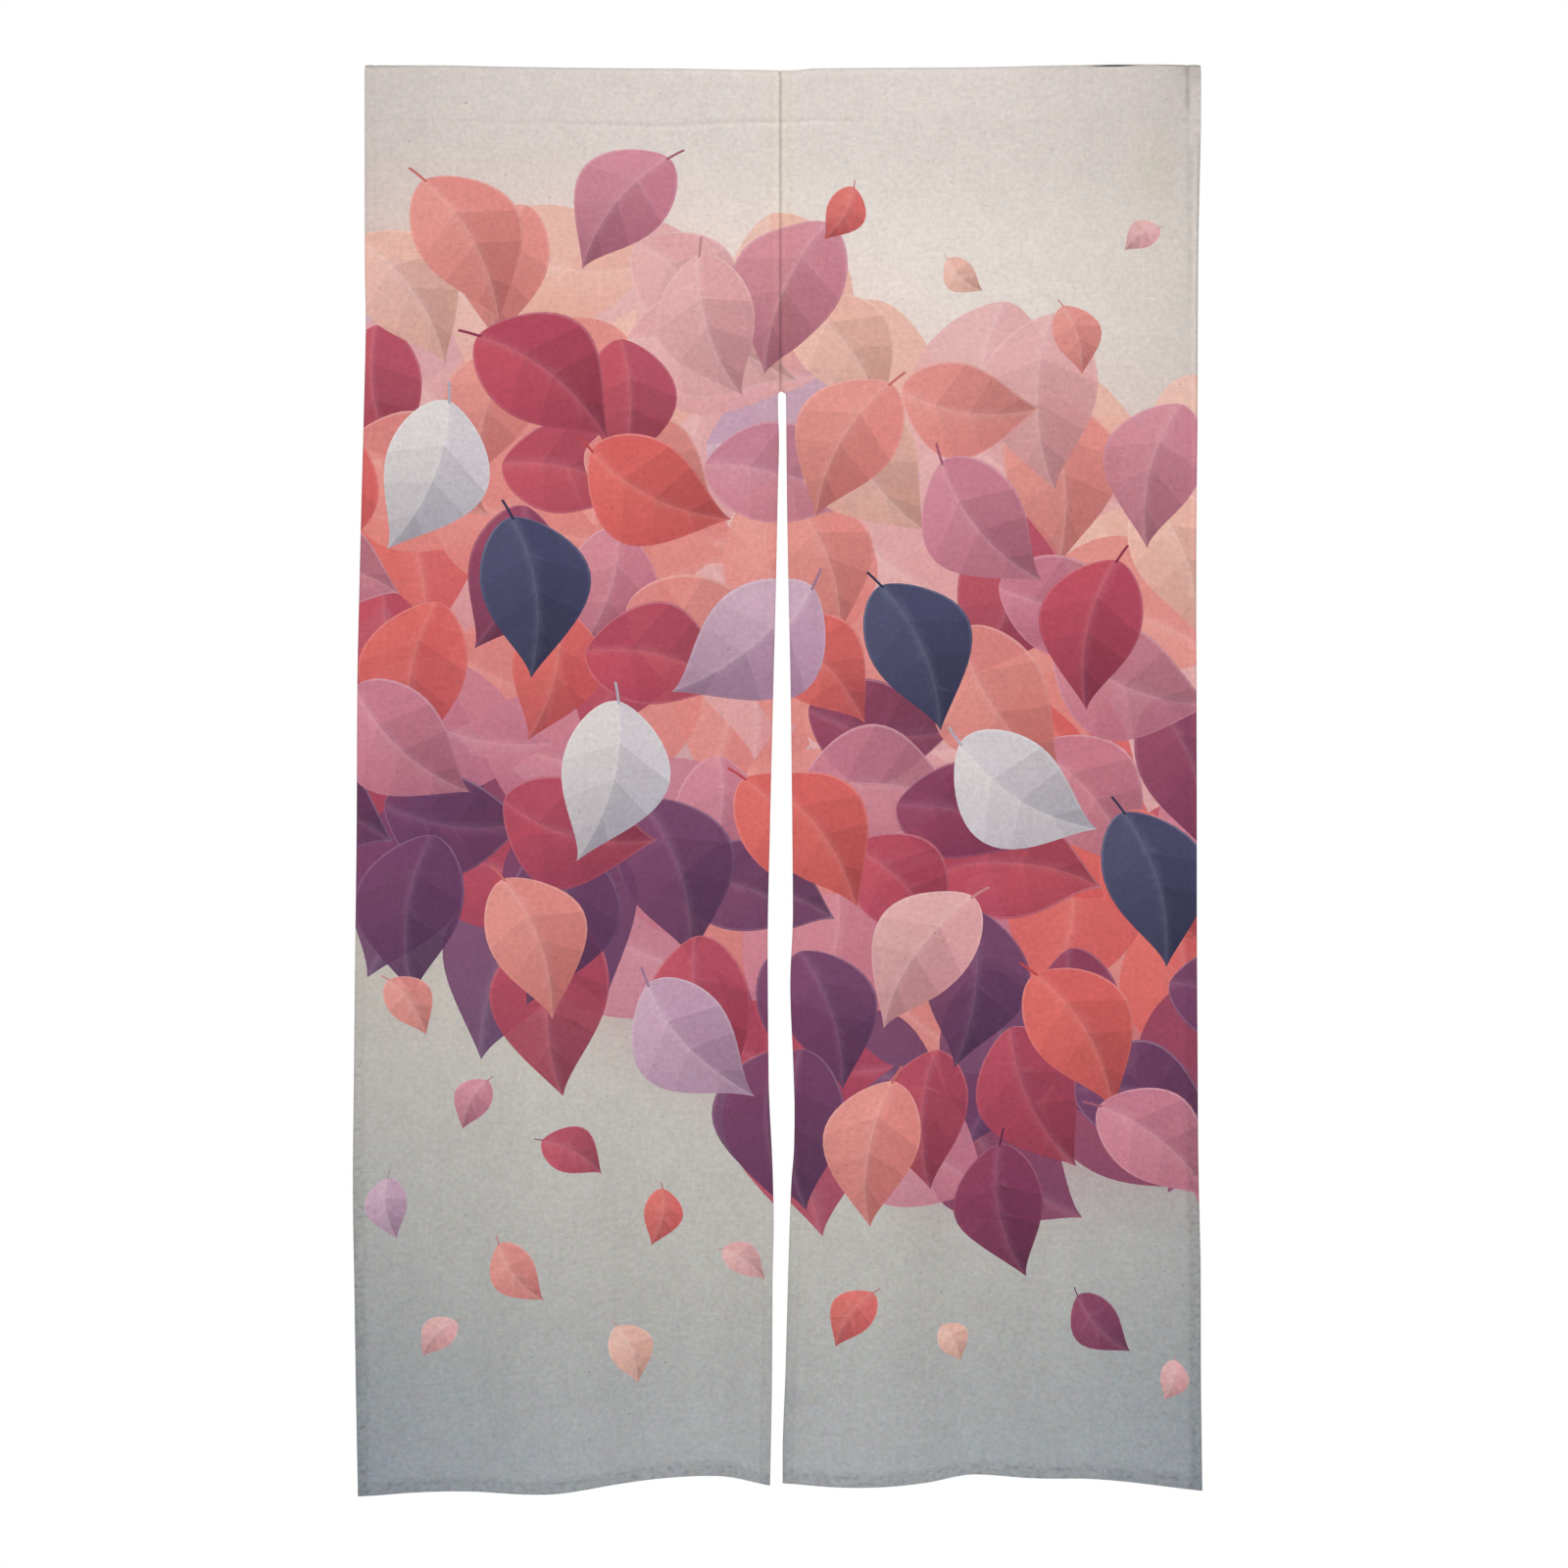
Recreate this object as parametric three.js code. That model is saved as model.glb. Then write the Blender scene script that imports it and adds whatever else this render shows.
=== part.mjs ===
// A split doorway curtain, hanging from a rod that is not part of it.
//
// Two cloth panels are sewn together by a centre seam at the top and hang free below it, on either side of
// a slit. The cloth is turned over to the back along the top edge and stitched down, which leaves a pocket
// for a rod.
//
// Millimetres, +Z up, +X to the right as seen from the front, and the printed face looks along -Y.
// The origin lies inside the pocket's fold at the centre of the top edge, where a rod bears.
import * as THREE from "three";
import { mergeVertices } from "three/addons/utils/BufferGeometryUtils.js";

// Cloth
const CLOTH = 1.5; // thickness of one layer
const SIDE_HEM = 12; // width of the doubled border along both long edges of a panel
const BOTTOM_HEM = 12; // height of the doubled border along the bottom edge
const HEM_STEP = 1.2; // width over which a hem's second layer ends
const GAP = 0.3; // clearance between neighbouring pieces

// Heights, as distances down from the level of the top corners
const TOP_SAG = 5.5; // how far the top edge sags at the centre seam
const SLIT_START = 339; // where the centre seam ends

// Rod pocket, in a section across the curtain
const POCKET_RADIUS = 10; // inside radius of the fold over the rod
const POCKET_HEIGHT = 57; // from the inside of the fold to the line of stitching
const POCKET_SLACK = 3; // how far the pocket's back wall bellies out
const STITCH_BAND = 4.5; // height of the doubled cloth that the stitching holds together
const POCKET_TURN_STEPS = 10; // facets of the fold over the rod
const POCKET_BACK_STEPS = 5; // facets of the back wall

// Planes and levels that follow from these
const CORNER_LEVEL = TOP_SAG; // height of the top corners above the origin
const FRONT_PLANE = -POCKET_RADIUS - CLOTH; // the printed face where the cloth hangs flat
const HEADING_END = POCKET_HEIGHT + STITCH_BAND; // bottom edge of a heading below its own top line
const PANEL_START = HEADING_END + GAP; // top edge of a panel below the top line

// How far the top edge lies below the corners, by its place from left to right
const TOP_LINE = [
  { x: -429, drop: 0 },
  { x: -330, drop: 0 },
  { x: -140, drop: 2 },
  { x: -44, drop: 4 },
  { x: 0, drop: TOP_SAG },
  { x: 28, drop: 3 },
  { x: 190, drop: 2 },
  { x: 290, drop: 0 },
  { x: 370, drop: -1 },
  { x: 431, drop: 0 },
];

// Each panel: where its long edges hang, its hem line and its folds.
//   edges    outer and inner are the x of the two long edges, at a distance down from the top corners
//   hem      how far down the bottom edge is, across the panel from 0 at the outer to 1 at the inner edge
//   folds    vertical waves: where across they start and end, half their width, and how far they stand
//            forward (+) or back (-) at the hem, growing from the distance down given as from
//   bellies  broad local swellings, with their centre, half sizes and how far they stand forward or back
const LEFT = {
  name: "left",
  edges: [
    { down: 60, outer: -429, inner: -0.15 },
    { down: 336, outer: -429, inner: -0.15 },
    { down: SLIT_START, outer: -429.1, inner: -0.15 },
    { down: SLIT_START + 2, outer: -429.2, inner: -2.4 },
    { down: SLIT_START + 7, outer: -429.4, inner: -3.4 },
    { down: 437, outer: -432, inner: -3.6 },
    { down: 537, outer: -434, inner: -5.5 },
    { down: 638, outer: -436, inner: -8.6 },
    { down: 789, outer: -437, inner: -12.6 },
    { down: 940, outer: -438.5, inner: -13.6 },
    { down: 1040, outer: -440, inner: -13.2 },
    { down: 1141, outer: -440.5, inner: -8.8 },
    { down: 1241, outer: -439, inner: -7.6 },
    { down: 1342, outer: -438, inner: -9.6 },
    { down: 1470, outer: -436, inner: -12.6 },
  ],
  hem: [
    { across: 0, down: 1468 },
    { across: 0.12, down: 1466 },
    { across: 0.27, down: 1466.5 },
    { across: 0.46, down: 1465 },
    { across: 0.62, down: 1458 },
    { across: 0.76, down: 1454.5 },
    { across: 0.88, down: 1453.5 },
    { across: 1, down: 1459 },
  ],
  folds: [
    { start: 0.04, end: 0, half: 0.16, forward: 8, from: 300 },
    { start: 0.3, end: 0.24, half: 0.2, forward: -11, from: 140 },
    { start: 0.42, end: 0.48, half: 0.24, forward: 17, from: 80 },
    { start: 0.72, end: 0.82, half: 0.26, forward: -22, from: 240 },
    { start: 1, end: 1, half: 0.13, forward: 8, from: 620 },
  ],
  bellies: [
    { across: 0.52, down: 640, halfAcross: 0.42, halfDown: 420, forward: 5 },
    { across: 0.14, down: 930, halfAcross: 0.22, halfDown: 380, forward: -4 },
    { across: 0.98, down: 900, halfAcross: 0.18, halfDown: 330, forward: -6 },
  ],
};

const RIGHT = {
  name: "right",
  edges: [
    { down: 60, outer: 430.4, inner: 0.15 },
    { down: 200, outer: 428, inner: 0.15 },
    { down: 336, outer: 427, inner: 0.15 },
    { down: SLIT_START, outer: 427, inner: 0.15 },
    { down: SLIT_START + 2, outer: 427, inner: 2.6 },
    { down: SLIT_START + 7, outer: 427, inner: 3.6 },
    { down: 437, outer: 426.4, inner: 4.6 },
    { down: 537, outer: 426, inner: 6.5 },
    { down: 638, outer: 426, inner: 8.6 },
    { down: 789, outer: 426, inner: 10.4 },
    { down: 890, outer: 426, inner: 10.6 },
    { down: 990, outer: 426.3, inner: 9 },
    { down: 1141, outer: 428, inner: 7.5 },
    { down: 1241, outer: 429.4, inner: 5.5 },
    { down: 1342, outer: 430.6, inner: 2.6 },
    { down: 1432, outer: 431.6, inner: 0 },
    { down: 1470, outer: 432, inner: 0.6 },
  ],
  hem: [
    { across: 0, down: 1462 },
    { across: 0.12, down: 1458 },
    { across: 0.3, down: 1451.5 },
    { across: 0.43, down: 1452 },
    { across: 0.54, down: 1452.5 },
    { across: 0.66, down: 1456 },
    { across: 0.82, down: 1459 },
    { across: 1, down: 1457.5 },
  ],
  folds: [
    { start: 0.05, end: 0, half: 0.18, forward: 9, from: 240 },
    { start: 0.3, end: 0.3, half: 0.17, forward: 6, from: 420 },
    { start: 0.58, end: 0.53, half: 0.22, forward: -21, from: 160 },
    { start: 0.78, end: 0.82, half: 0.22, forward: 15, from: 120 },
    { start: 1, end: 1, half: 0.12, forward: -6, from: 700 },
  ],
  bellies: [
    { across: 0.4, down: 560, halfAcross: 0.4, halfDown: 380, forward: 4 },
    { across: 0.22, down: 1010, halfAcross: 0.26, halfDown: 330, forward: -4 },
    { across: 0.98, down: 860, halfAcross: 0.17, halfDown: 320, forward: -5 },
  ],
};

// Rows of the panels' grids, as distances down at the inner edge, and how many columns lie between the hems
const ROWS_ABOVE_SLIT = [100, 150, 200, 250, 300];
const ROWS_AT_SLIT = [SLIT_START, SLIT_START + 2, SLIT_START + 7];
const ROWS_BELOW_SLIT = 22;
const FIELD_COLUMNS = 18;

const PANEL_CLOTH = new THREE.MeshStandardMaterial({ color: 0xc8a09c, roughness: 0.92, metalness: 0 });
const HEADING_CLOTH = new THREE.MeshStandardMaterial({ color: 0xd8cec6, roughness: 0.92, metalness: 0 });

// Smooth value of one column of a table, read at a place along another column.
function read(table, by, column, at) {
  const last = table.length - 1;
  const clamped = Math.min(Math.max(at, table[0][by]), table[last][by]);
  let k = 0;
  while (k < last - 1 && clamped > table[k + 1][by]) k += 1;
  const slope = (i, j) => (table[j][column] - table[i][column]) / (table[j][by] - table[i][by]);
  const tangent = (i) => {
    if (i === 0) return slope(0, 1);
    if (i === last) return slope(last - 1, last);
    const before = slope(i - 1, i);
    const after = slope(i, i + 1);
    return before * after <= 0 ? 0 : (2 * before * after) / (before + after);
  };
  const step = table[k + 1][by] - table[k][by];
  const t = (clamped - table[k][by]) / step;
  const h = t * t * (3 - 2 * t);
  return (
    table[k][column] * (1 - h) +
    table[k + 1][column] * h +
    step * (tangent(k) * t * (1 - t) * (1 - t) - tangent(k + 1) * t * t * (1 - t))
  );
}

const smooth = (t) => {
  const c = Math.min(Math.max(t, 0), 1);
  return c * c * (3 - 2 * c);
};

// A rounded bump: 1 at the centre, 0 at a distance of one half width and beyond.
const bump = (distance) => (Math.abs(distance) >= 1 ? 0 : 0.5 + 0.5 * Math.cos(Math.PI * distance));

// How far a panel's cloth stands forward of the flat plane.
function forward(panel, across, down) {
  let sum = 0;
  for (const f of panel.folds) {
    const along = (down - f.from) / (read(panel.hem, "across", "down", across) - f.from);
    if (along <= 0) continue;
    const middle = f.start + (f.end - f.start) * along;
    sum += f.forward * smooth(along) * bump((across - middle) / f.half);
  }
  for (const b of panel.bellies) {
    sum += b.forward * bump((across - b.across) / b.halfAcross) * bump((down - b.down) / b.halfDown);
  }
  // The seam holds both panels in one plane down to the slit.
  const freed = smooth((down - SLIT_START) / SLIT_START);
  const nearSeam = smooth((across - 0.7) / 0.3);
  return sum * (1 - nearSeam * (1 - freed));
}

// A closed sheet between a front and a back grid of points, given row by row from the top, left to right.
function closedSheet(front, back) {
  const rows = front.length;
  const columns = front[0].length;
  const points = [...front.flat(), ...back.flat()];
  const f = (i, j) => i * columns + j;
  const b = (i, j) => rows * columns + i * columns + j;
  const triangles = [];
  const quad = (p, q, r, s) => triangles.push(p, q, r, p, r, s);
  for (let i = 0; i < rows - 1; i += 1) {
    for (let j = 0; j < columns - 1; j += 1) {
      quad(f(i, j), f(i + 1, j), f(i + 1, j + 1), f(i, j + 1));
      quad(b(i, j), b(i, j + 1), b(i + 1, j + 1), b(i + 1, j));
    }
    quad(b(i, 0), b(i + 1, 0), f(i + 1, 0), f(i, 0));
    quad(f(i, columns - 1), f(i + 1, columns - 1), b(i + 1, columns - 1), b(i, columns - 1));
  }
  for (let j = 0; j < columns - 1; j += 1) {
    quad(f(0, j), f(0, j + 1), b(0, j + 1), b(0, j));
    quad(b(rows - 1, j), b(rows - 1, j + 1), f(rows - 1, j + 1), f(rows - 1, j));
  }
  const geometry = new THREE.BufferGeometry();
  geometry.setAttribute("position", new THREE.Float32BufferAttribute(points.flat(), 3));
  geometry.setIndex(triangles);
  return geometry;
}

function rowsOfPanel(panelEnd) {
  const free = ROWS_AT_SLIT[ROWS_AT_SLIT.length - 1];
  const fieldEnd = panelEnd - BOTTOM_HEM - HEM_STEP;
  const below = Array.from({ length: ROWS_BELOW_SLIT }, (_, k) => {
    return free + ((fieldEnd - free) * (k + 1)) / ROWS_BELOW_SLIT;
  });
  const start = PANEL_START + TOP_SAG;
  return [start, ...ROWS_ABOVE_SLIT, ...ROWS_AT_SLIT, ...below, panelEnd - BOTTOM_HEM, panelEnd];
}

function columnsOfPanel(width) {
  const first = (SIDE_HEM + HEM_STEP) / width;
  const field = Array.from({ length: FIELD_COLUMNS + 1 }, (_, k) => {
    return first + ((1 - 2 * first) * k) / FIELD_COLUMNS;
  });
  return [0, SIDE_HEM / width, ...field, 1 - SIDE_HEM / width, 1];
}

// One printed panel, from the pocket's stitching down to its hem.
function buildPanel(panel) {
  const innerEnd = read(panel.hem, "across", "down", 1);
  const innerStart = PANEL_START + TOP_SAG;
  const width = Math.abs(panel.edges[0].outer - panel.edges[0].inner);
  const rows = rowsOfPanel(innerEnd);
  const columns = columnsOfPanel(width);
  if (panel.edges[0].outer > 0) columns.reverse();
  const front = [];
  const back = [];
  rows.forEach((rowDown, i) => {
    const along = (rowDown - innerStart) / (innerEnd - innerStart);
    const inBottomHem = i >= rows.length - 2;
    const frontRow = [];
    const backRow = [];
    columns.forEach((across) => {
      const topX = THREE.MathUtils.lerp(panel.edges[0].outer, panel.edges[0].inner, across);
      const start = PANEL_START + read(TOP_LINE, "x", "drop", topX);
      const end = read(panel.hem, "across", "down", across);
      const down = start + (end - start) * along;
      const outer = read(panel.edges, "down", "outer", down);
      const inner = read(panel.edges, "down", "inner", rowDown);
      const x = THREE.MathUtils.lerp(outer, inner, across);
      const z = CORNER_LEVEL - down;
      const y = FRONT_PLANE - forward(panel, across, down);
      const inSideHem = Math.min(across, 1 - across) * width < SIDE_HEM + HEM_STEP / 2;
      const layers = inBottomHem || inSideHem ? 2 : 1;
      frontRow.push([x, y, z]);
      backRow.push([x, y + layers * CLOTH, z]);
    });
    front.push(frontRow);
    back.push(backRow);
  });
  const mesh = new THREE.Mesh(closedSheet(front, back), PANEL_CLOTH);
  mesh.name = `panel_${panel.name}`;
  return mesh;
}

// One face of the pocket's wall: up the front, over the rod and down the back. Its x runs from front to back
// and its y up, from 0, 0 inside the fold's top.
function pocketWall(radius, foot) {
  const centre = -POCKET_RADIUS;
  const points = [new THREE.Vector2(-radius, foot), new THREE.Vector2(-radius, centre)];
  for (let k = 1; k <= POCKET_TURN_STEPS; k += 1) {
    const angle = Math.PI * (1 - k / POCKET_TURN_STEPS);
    points.push(new THREE.Vector2(radius * Math.cos(angle), centre + radius * Math.sin(angle)));
  }
  for (let k = 1; k < POCKET_BACK_STEPS; k += 1) {
    const t = k / POCKET_BACK_STEPS;
    const straight = THREE.MathUtils.lerp(radius, radius - 2 * POCKET_RADIUS, t);
    const swell = POCKET_SLACK * Math.sin(Math.PI * t);
    points.push(new THREE.Vector2(straight + swell, THREE.MathUtils.lerp(centre, -POCKET_HEIGHT, t)));
  }
  return points;
}

function pocketSection() {
  const outside = [
    ...pocketWall(POCKET_RADIUS + CLOTH, -HEADING_END),
    new THREE.Vector2(CLOTH - POCKET_RADIUS, -POCKET_HEIGHT),
    new THREE.Vector2(CLOTH - POCKET_RADIUS, -HEADING_END),
  ];
  const inside = pocketWall(POCKET_RADIUS, CLOTH - POCKET_HEIGHT);
  const section = new THREE.Shape(outside);
  section.holes.push(new THREE.Path(inside.reverse()));
  return section;
}

// Half of the heading: the cloth turned over the rod and stitched down, from the side edge to the centre
// seam. Its facets lie over the panel's columns, so that the gap between the two is even.
function buildHeading(panel) {
  const { outer, inner } = panel.edges[0];
  const columns = columnsOfPanel(Math.abs(outer - inner));
  const stations = columns.map((across) => THREE.MathUtils.lerp(outer, inner, across));
  stations.sort((a, b) => a - b);
  const steps = stations.length - 1;
  const extruded = new THREE.ExtrudeGeometry(pocketSection(), { depth: steps, steps, bevelEnabled: false });
  const position = extruded.getAttribute("position");
  for (let k = 0; k < position.count; k += 1) {
    const x = stations[Math.round(position.getZ(k))];
    const y = position.getX(k);
    const z = CORNER_LEVEL + position.getY(k) - read(TOP_LINE, "x", "drop", x);
    position.setXYZ(k, x, y, z);
  }
  extruded.deleteAttribute("normal");
  extruded.deleteAttribute("uv");
  const mesh = new THREE.Mesh(mergeVertices(extruded), HEADING_CLOTH);
  mesh.name = `heading_${panel.name}`;
  return mesh;
}

const curtain = new THREE.Group();
for (const panel of [LEFT, RIGHT]) {
  curtain.add(buildHeading(panel));
  curtain.add(buildPanel(panel));
}

export default curtain;
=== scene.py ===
"""A split doorway curtain of printed linen-look cloth, hanging from a rod that is not part of it.

Each half is one cloth: it hangs in front, turns over at the top and is stitched down behind, which makes
the rod pocket. The two halves meet at a centre seam and hang free below it. Lengths are in millimetres,
apart from those of the surroundings.
"""
import math
import random

import bpy
import numpy as np
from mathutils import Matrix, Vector
from mathutils.geometry import delaunay_2d_cdt


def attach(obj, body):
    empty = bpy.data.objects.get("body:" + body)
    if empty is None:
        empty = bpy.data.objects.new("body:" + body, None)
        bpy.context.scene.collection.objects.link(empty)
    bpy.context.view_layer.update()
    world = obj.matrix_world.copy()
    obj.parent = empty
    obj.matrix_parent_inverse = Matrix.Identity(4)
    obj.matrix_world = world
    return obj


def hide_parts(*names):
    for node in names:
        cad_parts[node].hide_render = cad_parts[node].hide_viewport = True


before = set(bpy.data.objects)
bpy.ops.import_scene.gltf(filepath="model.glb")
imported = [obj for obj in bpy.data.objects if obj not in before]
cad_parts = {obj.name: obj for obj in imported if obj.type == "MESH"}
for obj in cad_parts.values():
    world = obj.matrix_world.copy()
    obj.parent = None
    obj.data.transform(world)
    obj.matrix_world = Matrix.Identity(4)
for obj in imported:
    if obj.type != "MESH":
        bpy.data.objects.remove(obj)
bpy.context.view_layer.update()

MM = 0.001

# The construction's own sizes
CAD_CLOTH = 1.5  # thickness of the frame's solids
TOP_SAG = 5.5  # how far the top edge hangs below the top line at the seam
SLIT_START = 339.0  # where the folds beside the slit begin
POCKET_RADIUS = 10.0  # inside the fold
POCKET_SLACK = 3.0  # how far the back of the pocket bellies out
FRONT_PLANE = -POCKET_RADIUS - CAD_CLOTH  # y of the printed face where the cloth hangs flat
JOIN = 61.65  # where a heading ends and its panel goes on, below the top line

# The cloth
LAYER = 0.8  # thickness of one layer
HEM = 12.0  # width of the turned border
HEM_THICKNESS = 2.3  # cloth and its doubly turned border
STITCH_INSET = 10.2  # from an edge to the hem's line of stitching
POCKET_STITCH = 56.0  # from the top line to the pocket's line of stitching
SEAM_X = -1.7  # where the two halves meet
SEAM_GAP = 0.005  # between that place and each of them
SLIT_TOP = 331.5  # where the seam ends and the slit starts
SLIT_ROUND = 4.0  # how far below its start the slit has opened
FLAT_HALF = 430.0  # half the width of the finished cloth
FLAT_LENGTH = 1462.0  # from the top line to the hem, laid flat
WIDER_FADE = 60.0  # how far in from a wider border the cloth still shifts
SEAM_REACH = 9.0  # how far to its sides the seam holds the cloth
EDGE_ROUND = 1.6  # how far in from an edge its rounding starts
BORDER_FULLNESS = 0.22  # how far a turned border swells
HEM_PUCKER, POCKET_PUCKER = 0.26, 0.3  # height of the small waves along the lines of stitching
HEM_DENT, POCKET_DENT = 0.34, 0.4  # how deep those lines are drawn in


def table(columns, *rows):
    """Rows of values, each value under the name of its column."""
    return [dict(zip(columns.split(), row)) for row in rows]


# How far the top edge hangs below the top line, across the curtain
TOP_LINE = table(
    "x drop",
    (-429, 0), (-360, 0), (-279, 1.4), (-199, 2.7), (-118, 3.2), (-44, 4.6), (-16, 4.9), (0, TOP_SAG),
    (18, 4.7), (34, 3.1), (190, 2), (290, 0), (370, -1), (431, 0),
)

# The two halves as they hang: their edges, folds and bellies. "across" is a share, 0 at the side edge and
# 1 at the seam, "down" is the distance from the top line, and "half" stands for a half width.
LEFT = {
    "name": "left", "side": -1.0, "seed": 3.1, "wider_border": 0, "wider_until": 200,
    "edges": table(
        "down outer inner",
        (60, -428.7, SEAM_X), (200, -428.5, SEAM_X), (265, -427.6, SEAM_X), (338, -429, -4.2),
        (350, -429.3, -4.3), (386, -430.2, -3.2), (437, -431.6, -4.4), (537, -434, -6.4),
        (638, -436, -9), (789, -436.7, -12.6), (905, -438, -14.8), (1040, -439.2, -13.8),
        (1141, -440, -9.5), (1191, -439.6, -8.6), (1241, -438.6, -9.7), (1342, -437, -10.3),
        (1470, -434.6, -12.6),
    ),
    "hem": table(
        "across down",
        (0, 1468), (0.12, 1466.4), (0.27, 1466.2), (0.46, 1464.6), (0.62, 1457), (0.76, 1453.4),
        (0.88, 1452), (1, 1457.6),
    ),
    "folds": table(
        "start end half forward from",
        (0.04, 0, 0.16, 8, 300), (0.3, 0.24, 0.2, -11, 140), (0.42, 0.48, 0.24, 17, 80),
        (0.72, 0.82, 0.26, -22, 240), (1, 1, 0.13, 8, 620),
    ),
    "bellies": table(
        "across down half_across half_down forward",
        (0.52, 640, 0.42, 420, 5), (0.14, 930, 0.22, 380, -4), (0.98, 900, 0.18, 330, -6),
    ),
}

RIGHT = {
    "name": "right", "side": 1.0, "seed": 5.7, "wider_border": 4, "wider_until": 240,
    "edges": table(
        "down outer inner",
        (60, 430, SEAM_X), (200, 427.2, SEAM_X), (250, 426.8, SEAM_X), (338, 426.5, 3.8),
        (350, 426.5, 4.0), (437, 425.6, 4.8), (537, 425, 6.5), (638, 425.2, 8.6), (789, 425.3, 10.4),
        (870, 425.3, 11), (945, 425.5, 8.3), (1030, 426, 11.5), (1075, 426.2, 12.7),
        (1110, 426.4, 12.2), (1150, 427, 9.3), (1241, 428.8, 6.2), (1342, 429, 3.4), (1432, 430, 0.4),
        (1470, 430.4, 0.6),
    ),
    "hem": table(
        "across down",
        (0, 1462), (0.12, 1457), (0.3, 1450), (0.43, 1452), (0.54, 1450.5), (0.66, 1456.6),
        (0.82, 1458), (1, 1457),
    ),
    "folds": table(
        "start end half forward from",
        (0.05, 0, 0.18, 9, 240), (0.3, 0.3, 0.17, 6, 420), (0.58, 0.53, 0.22, -21, 160),
        (0.78, 0.82, 0.22, 15, 120), (1, 1, 0.12, -6, 700),
    ),
    "bellies": table(
        "across down half_across half_down forward",
        (0.4, 560, 0.4, 380, 4), (0.22, 1010, 0.26, 330, -4), (0.98, 860, 0.17, 320, -5),
    ),
}

PANELS = (LEFT, RIGHT)

# How the pocket's line of stitching wanders off its level
POCKET_WANDER = table(
    "x lower",
    (-430, 0), (-250, 0.3), (-178, 1.2), (-118, 2.6), (-60, -1.6), (-18, -3.2), (18, -3.8), (55, -3),
    (103, -1), (170, 0), (430, 0),
)


def read(rows, column, at):
    """Smooth values of one column of a table, read at places along its first column."""
    along = next(iter(rows[0]))
    xs = np.array([row[along] for row in rows], float)
    ys = np.array([row[column] for row in rows], float)
    at = np.clip(np.asarray(at, float), xs[0], xs[-1])
    slope = np.diff(ys) / np.diff(xs)
    tangent = np.empty_like(ys)
    tangent[0], tangent[-1] = slope[0], slope[-1]
    before, after = slope[:-1], slope[1:]
    turning = before * after <= 0
    total = np.where(turning, 1.0, before + after)
    tangent[1:-1] = np.where(turning, 0.0, 2 * before * after / total)
    k = np.clip(np.searchsorted(xs, at, side="left") - 1, 0, len(xs) - 2)
    step = xs[k + 1] - xs[k]
    t = (at - xs[k]) / step
    h = t * t * (3 - 2 * t)
    bend = step * (tangent[k] * t * (1 - t) ** 2 - tangent[k + 1] * t * t * (1 - t))
    return ys[k] * (1 - h) + ys[k + 1] * h + bend


def smooth(t):
    """0 to 1 with a soft start and end, as t goes from 0 to 1."""
    c = np.clip(t, 0, 1)
    return c * c * (3 - 2 * c)


def rise(value, start, length):
    """0 up to the start, then smoothly up to 1 within the length."""
    return smooth((value - start) / length)


def fall(value, start, length):
    """1 up to the start, then smoothly down to 0 within the length."""
    return 1 - rise(value, start, length)


def bump(distance):
    """A rounded bump: 1 at the centre, 0 at a distance of one half width and beyond."""
    return np.where(np.abs(distance) >= 1, 0.0, 0.5 + 0.5 * np.cos(np.pi * np.clip(distance, -1, 1)))


def line(distance, half):
    """A soft line: 1 on it, fading to both sides."""
    return np.exp(-((distance / half) ** 2))


def mound(row, x, x_name, y, y_name):
    """A rounded mound, 1 at its centre, from a row that gives its centre and half widths by name."""
    return bump((x - row[x_name]) / row["half_" + x_name]) * bump((y - row[y_name]) / row["half_" + y_name])


def forward(panel, across, down):
    """How far a panel's cloth stands forward of the flat plane."""
    total = np.zeros_like(across)
    end = read(panel["hem"], "down", across)
    for f in panel["folds"]:
        along = np.clip((down - f["from"]) / (end - f["from"]), 0, None)
        middle = f["start"] + (f["end"] - f["start"]) * along
        total += f["forward"] * smooth(along) * bump((across - middle) / f["half"])
    for b in panel["bellies"]:
        total += b["forward"] * mound(b, across, "across", down, "down")
    freed = rise(down, SLIT_START, SLIT_START)
    near_seam = rise(across, 0.7, 0.3)
    return total * (1 - near_seam * (1 - freed))


# The cloth laid flat: flat_x runs across both halves from -430 to 430, and flat_d down from the top line.
def across_of(flat_x):
    """0 at a half's side edge and 1 at the seam or slit."""
    return np.clip(1 - np.abs(flat_x) / FLAT_HALF, 0, 1)


def widened(panel, flat_x, down):
    """How far the cloth beside a long edge is shifted inwards, where its border is turned wider."""
    side = FLAT_HALF - np.abs(flat_x)
    wider = panel["wider_border"] * fall(down, 0, panel["wider_until"])
    return wider * np.minimum(side / STITCH_INSET, 1) * fall(side, HEM, WIDER_FADE)


def ripple(s, seed):
    """An uneven wave, about -1 to 1, along a line."""
    return (
        np.sin(s / 2.7 + 1.3 * seed)
        + 0.7 * np.sin(s / 4.3 + 2.1 * seed + 0.5 * np.sin(s / 31))
        + 0.5 * np.sin(s / 7.9 + 0.4 * seed)
    ) / 2.2


def sway(s, seed):
    """A slow uneven wave, about -1 to 1."""
    return (
        np.sin(s / 23 + 1.7 * seed)
        + 0.6 * np.sin(s / 41 + 0.9 * seed)
        + 0.4 * np.sin(s / 13.7 + seed)
    ) / 2


def edge_distances(flat_x, flat_d):
    """Distances to the side edge, to the seam or slit edge and to the hem, along the cloth."""
    return FLAT_HALF - np.abs(flat_x), np.abs(flat_x), FLAT_LENGTH - flat_d


def pocket_line(flat_x):
    """How clearly the pocket's stitching shows: it fades towards the sides."""
    return rise(flat_x, -400, 380) * fall(flat_x, 10, 100)


def pocket_stitch(flat_x):
    """Where the pocket's line of stitching runs, below the top line."""
    return POCKET_STITCH + read(POCKET_WANDER, "lower", flat_x)


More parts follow.
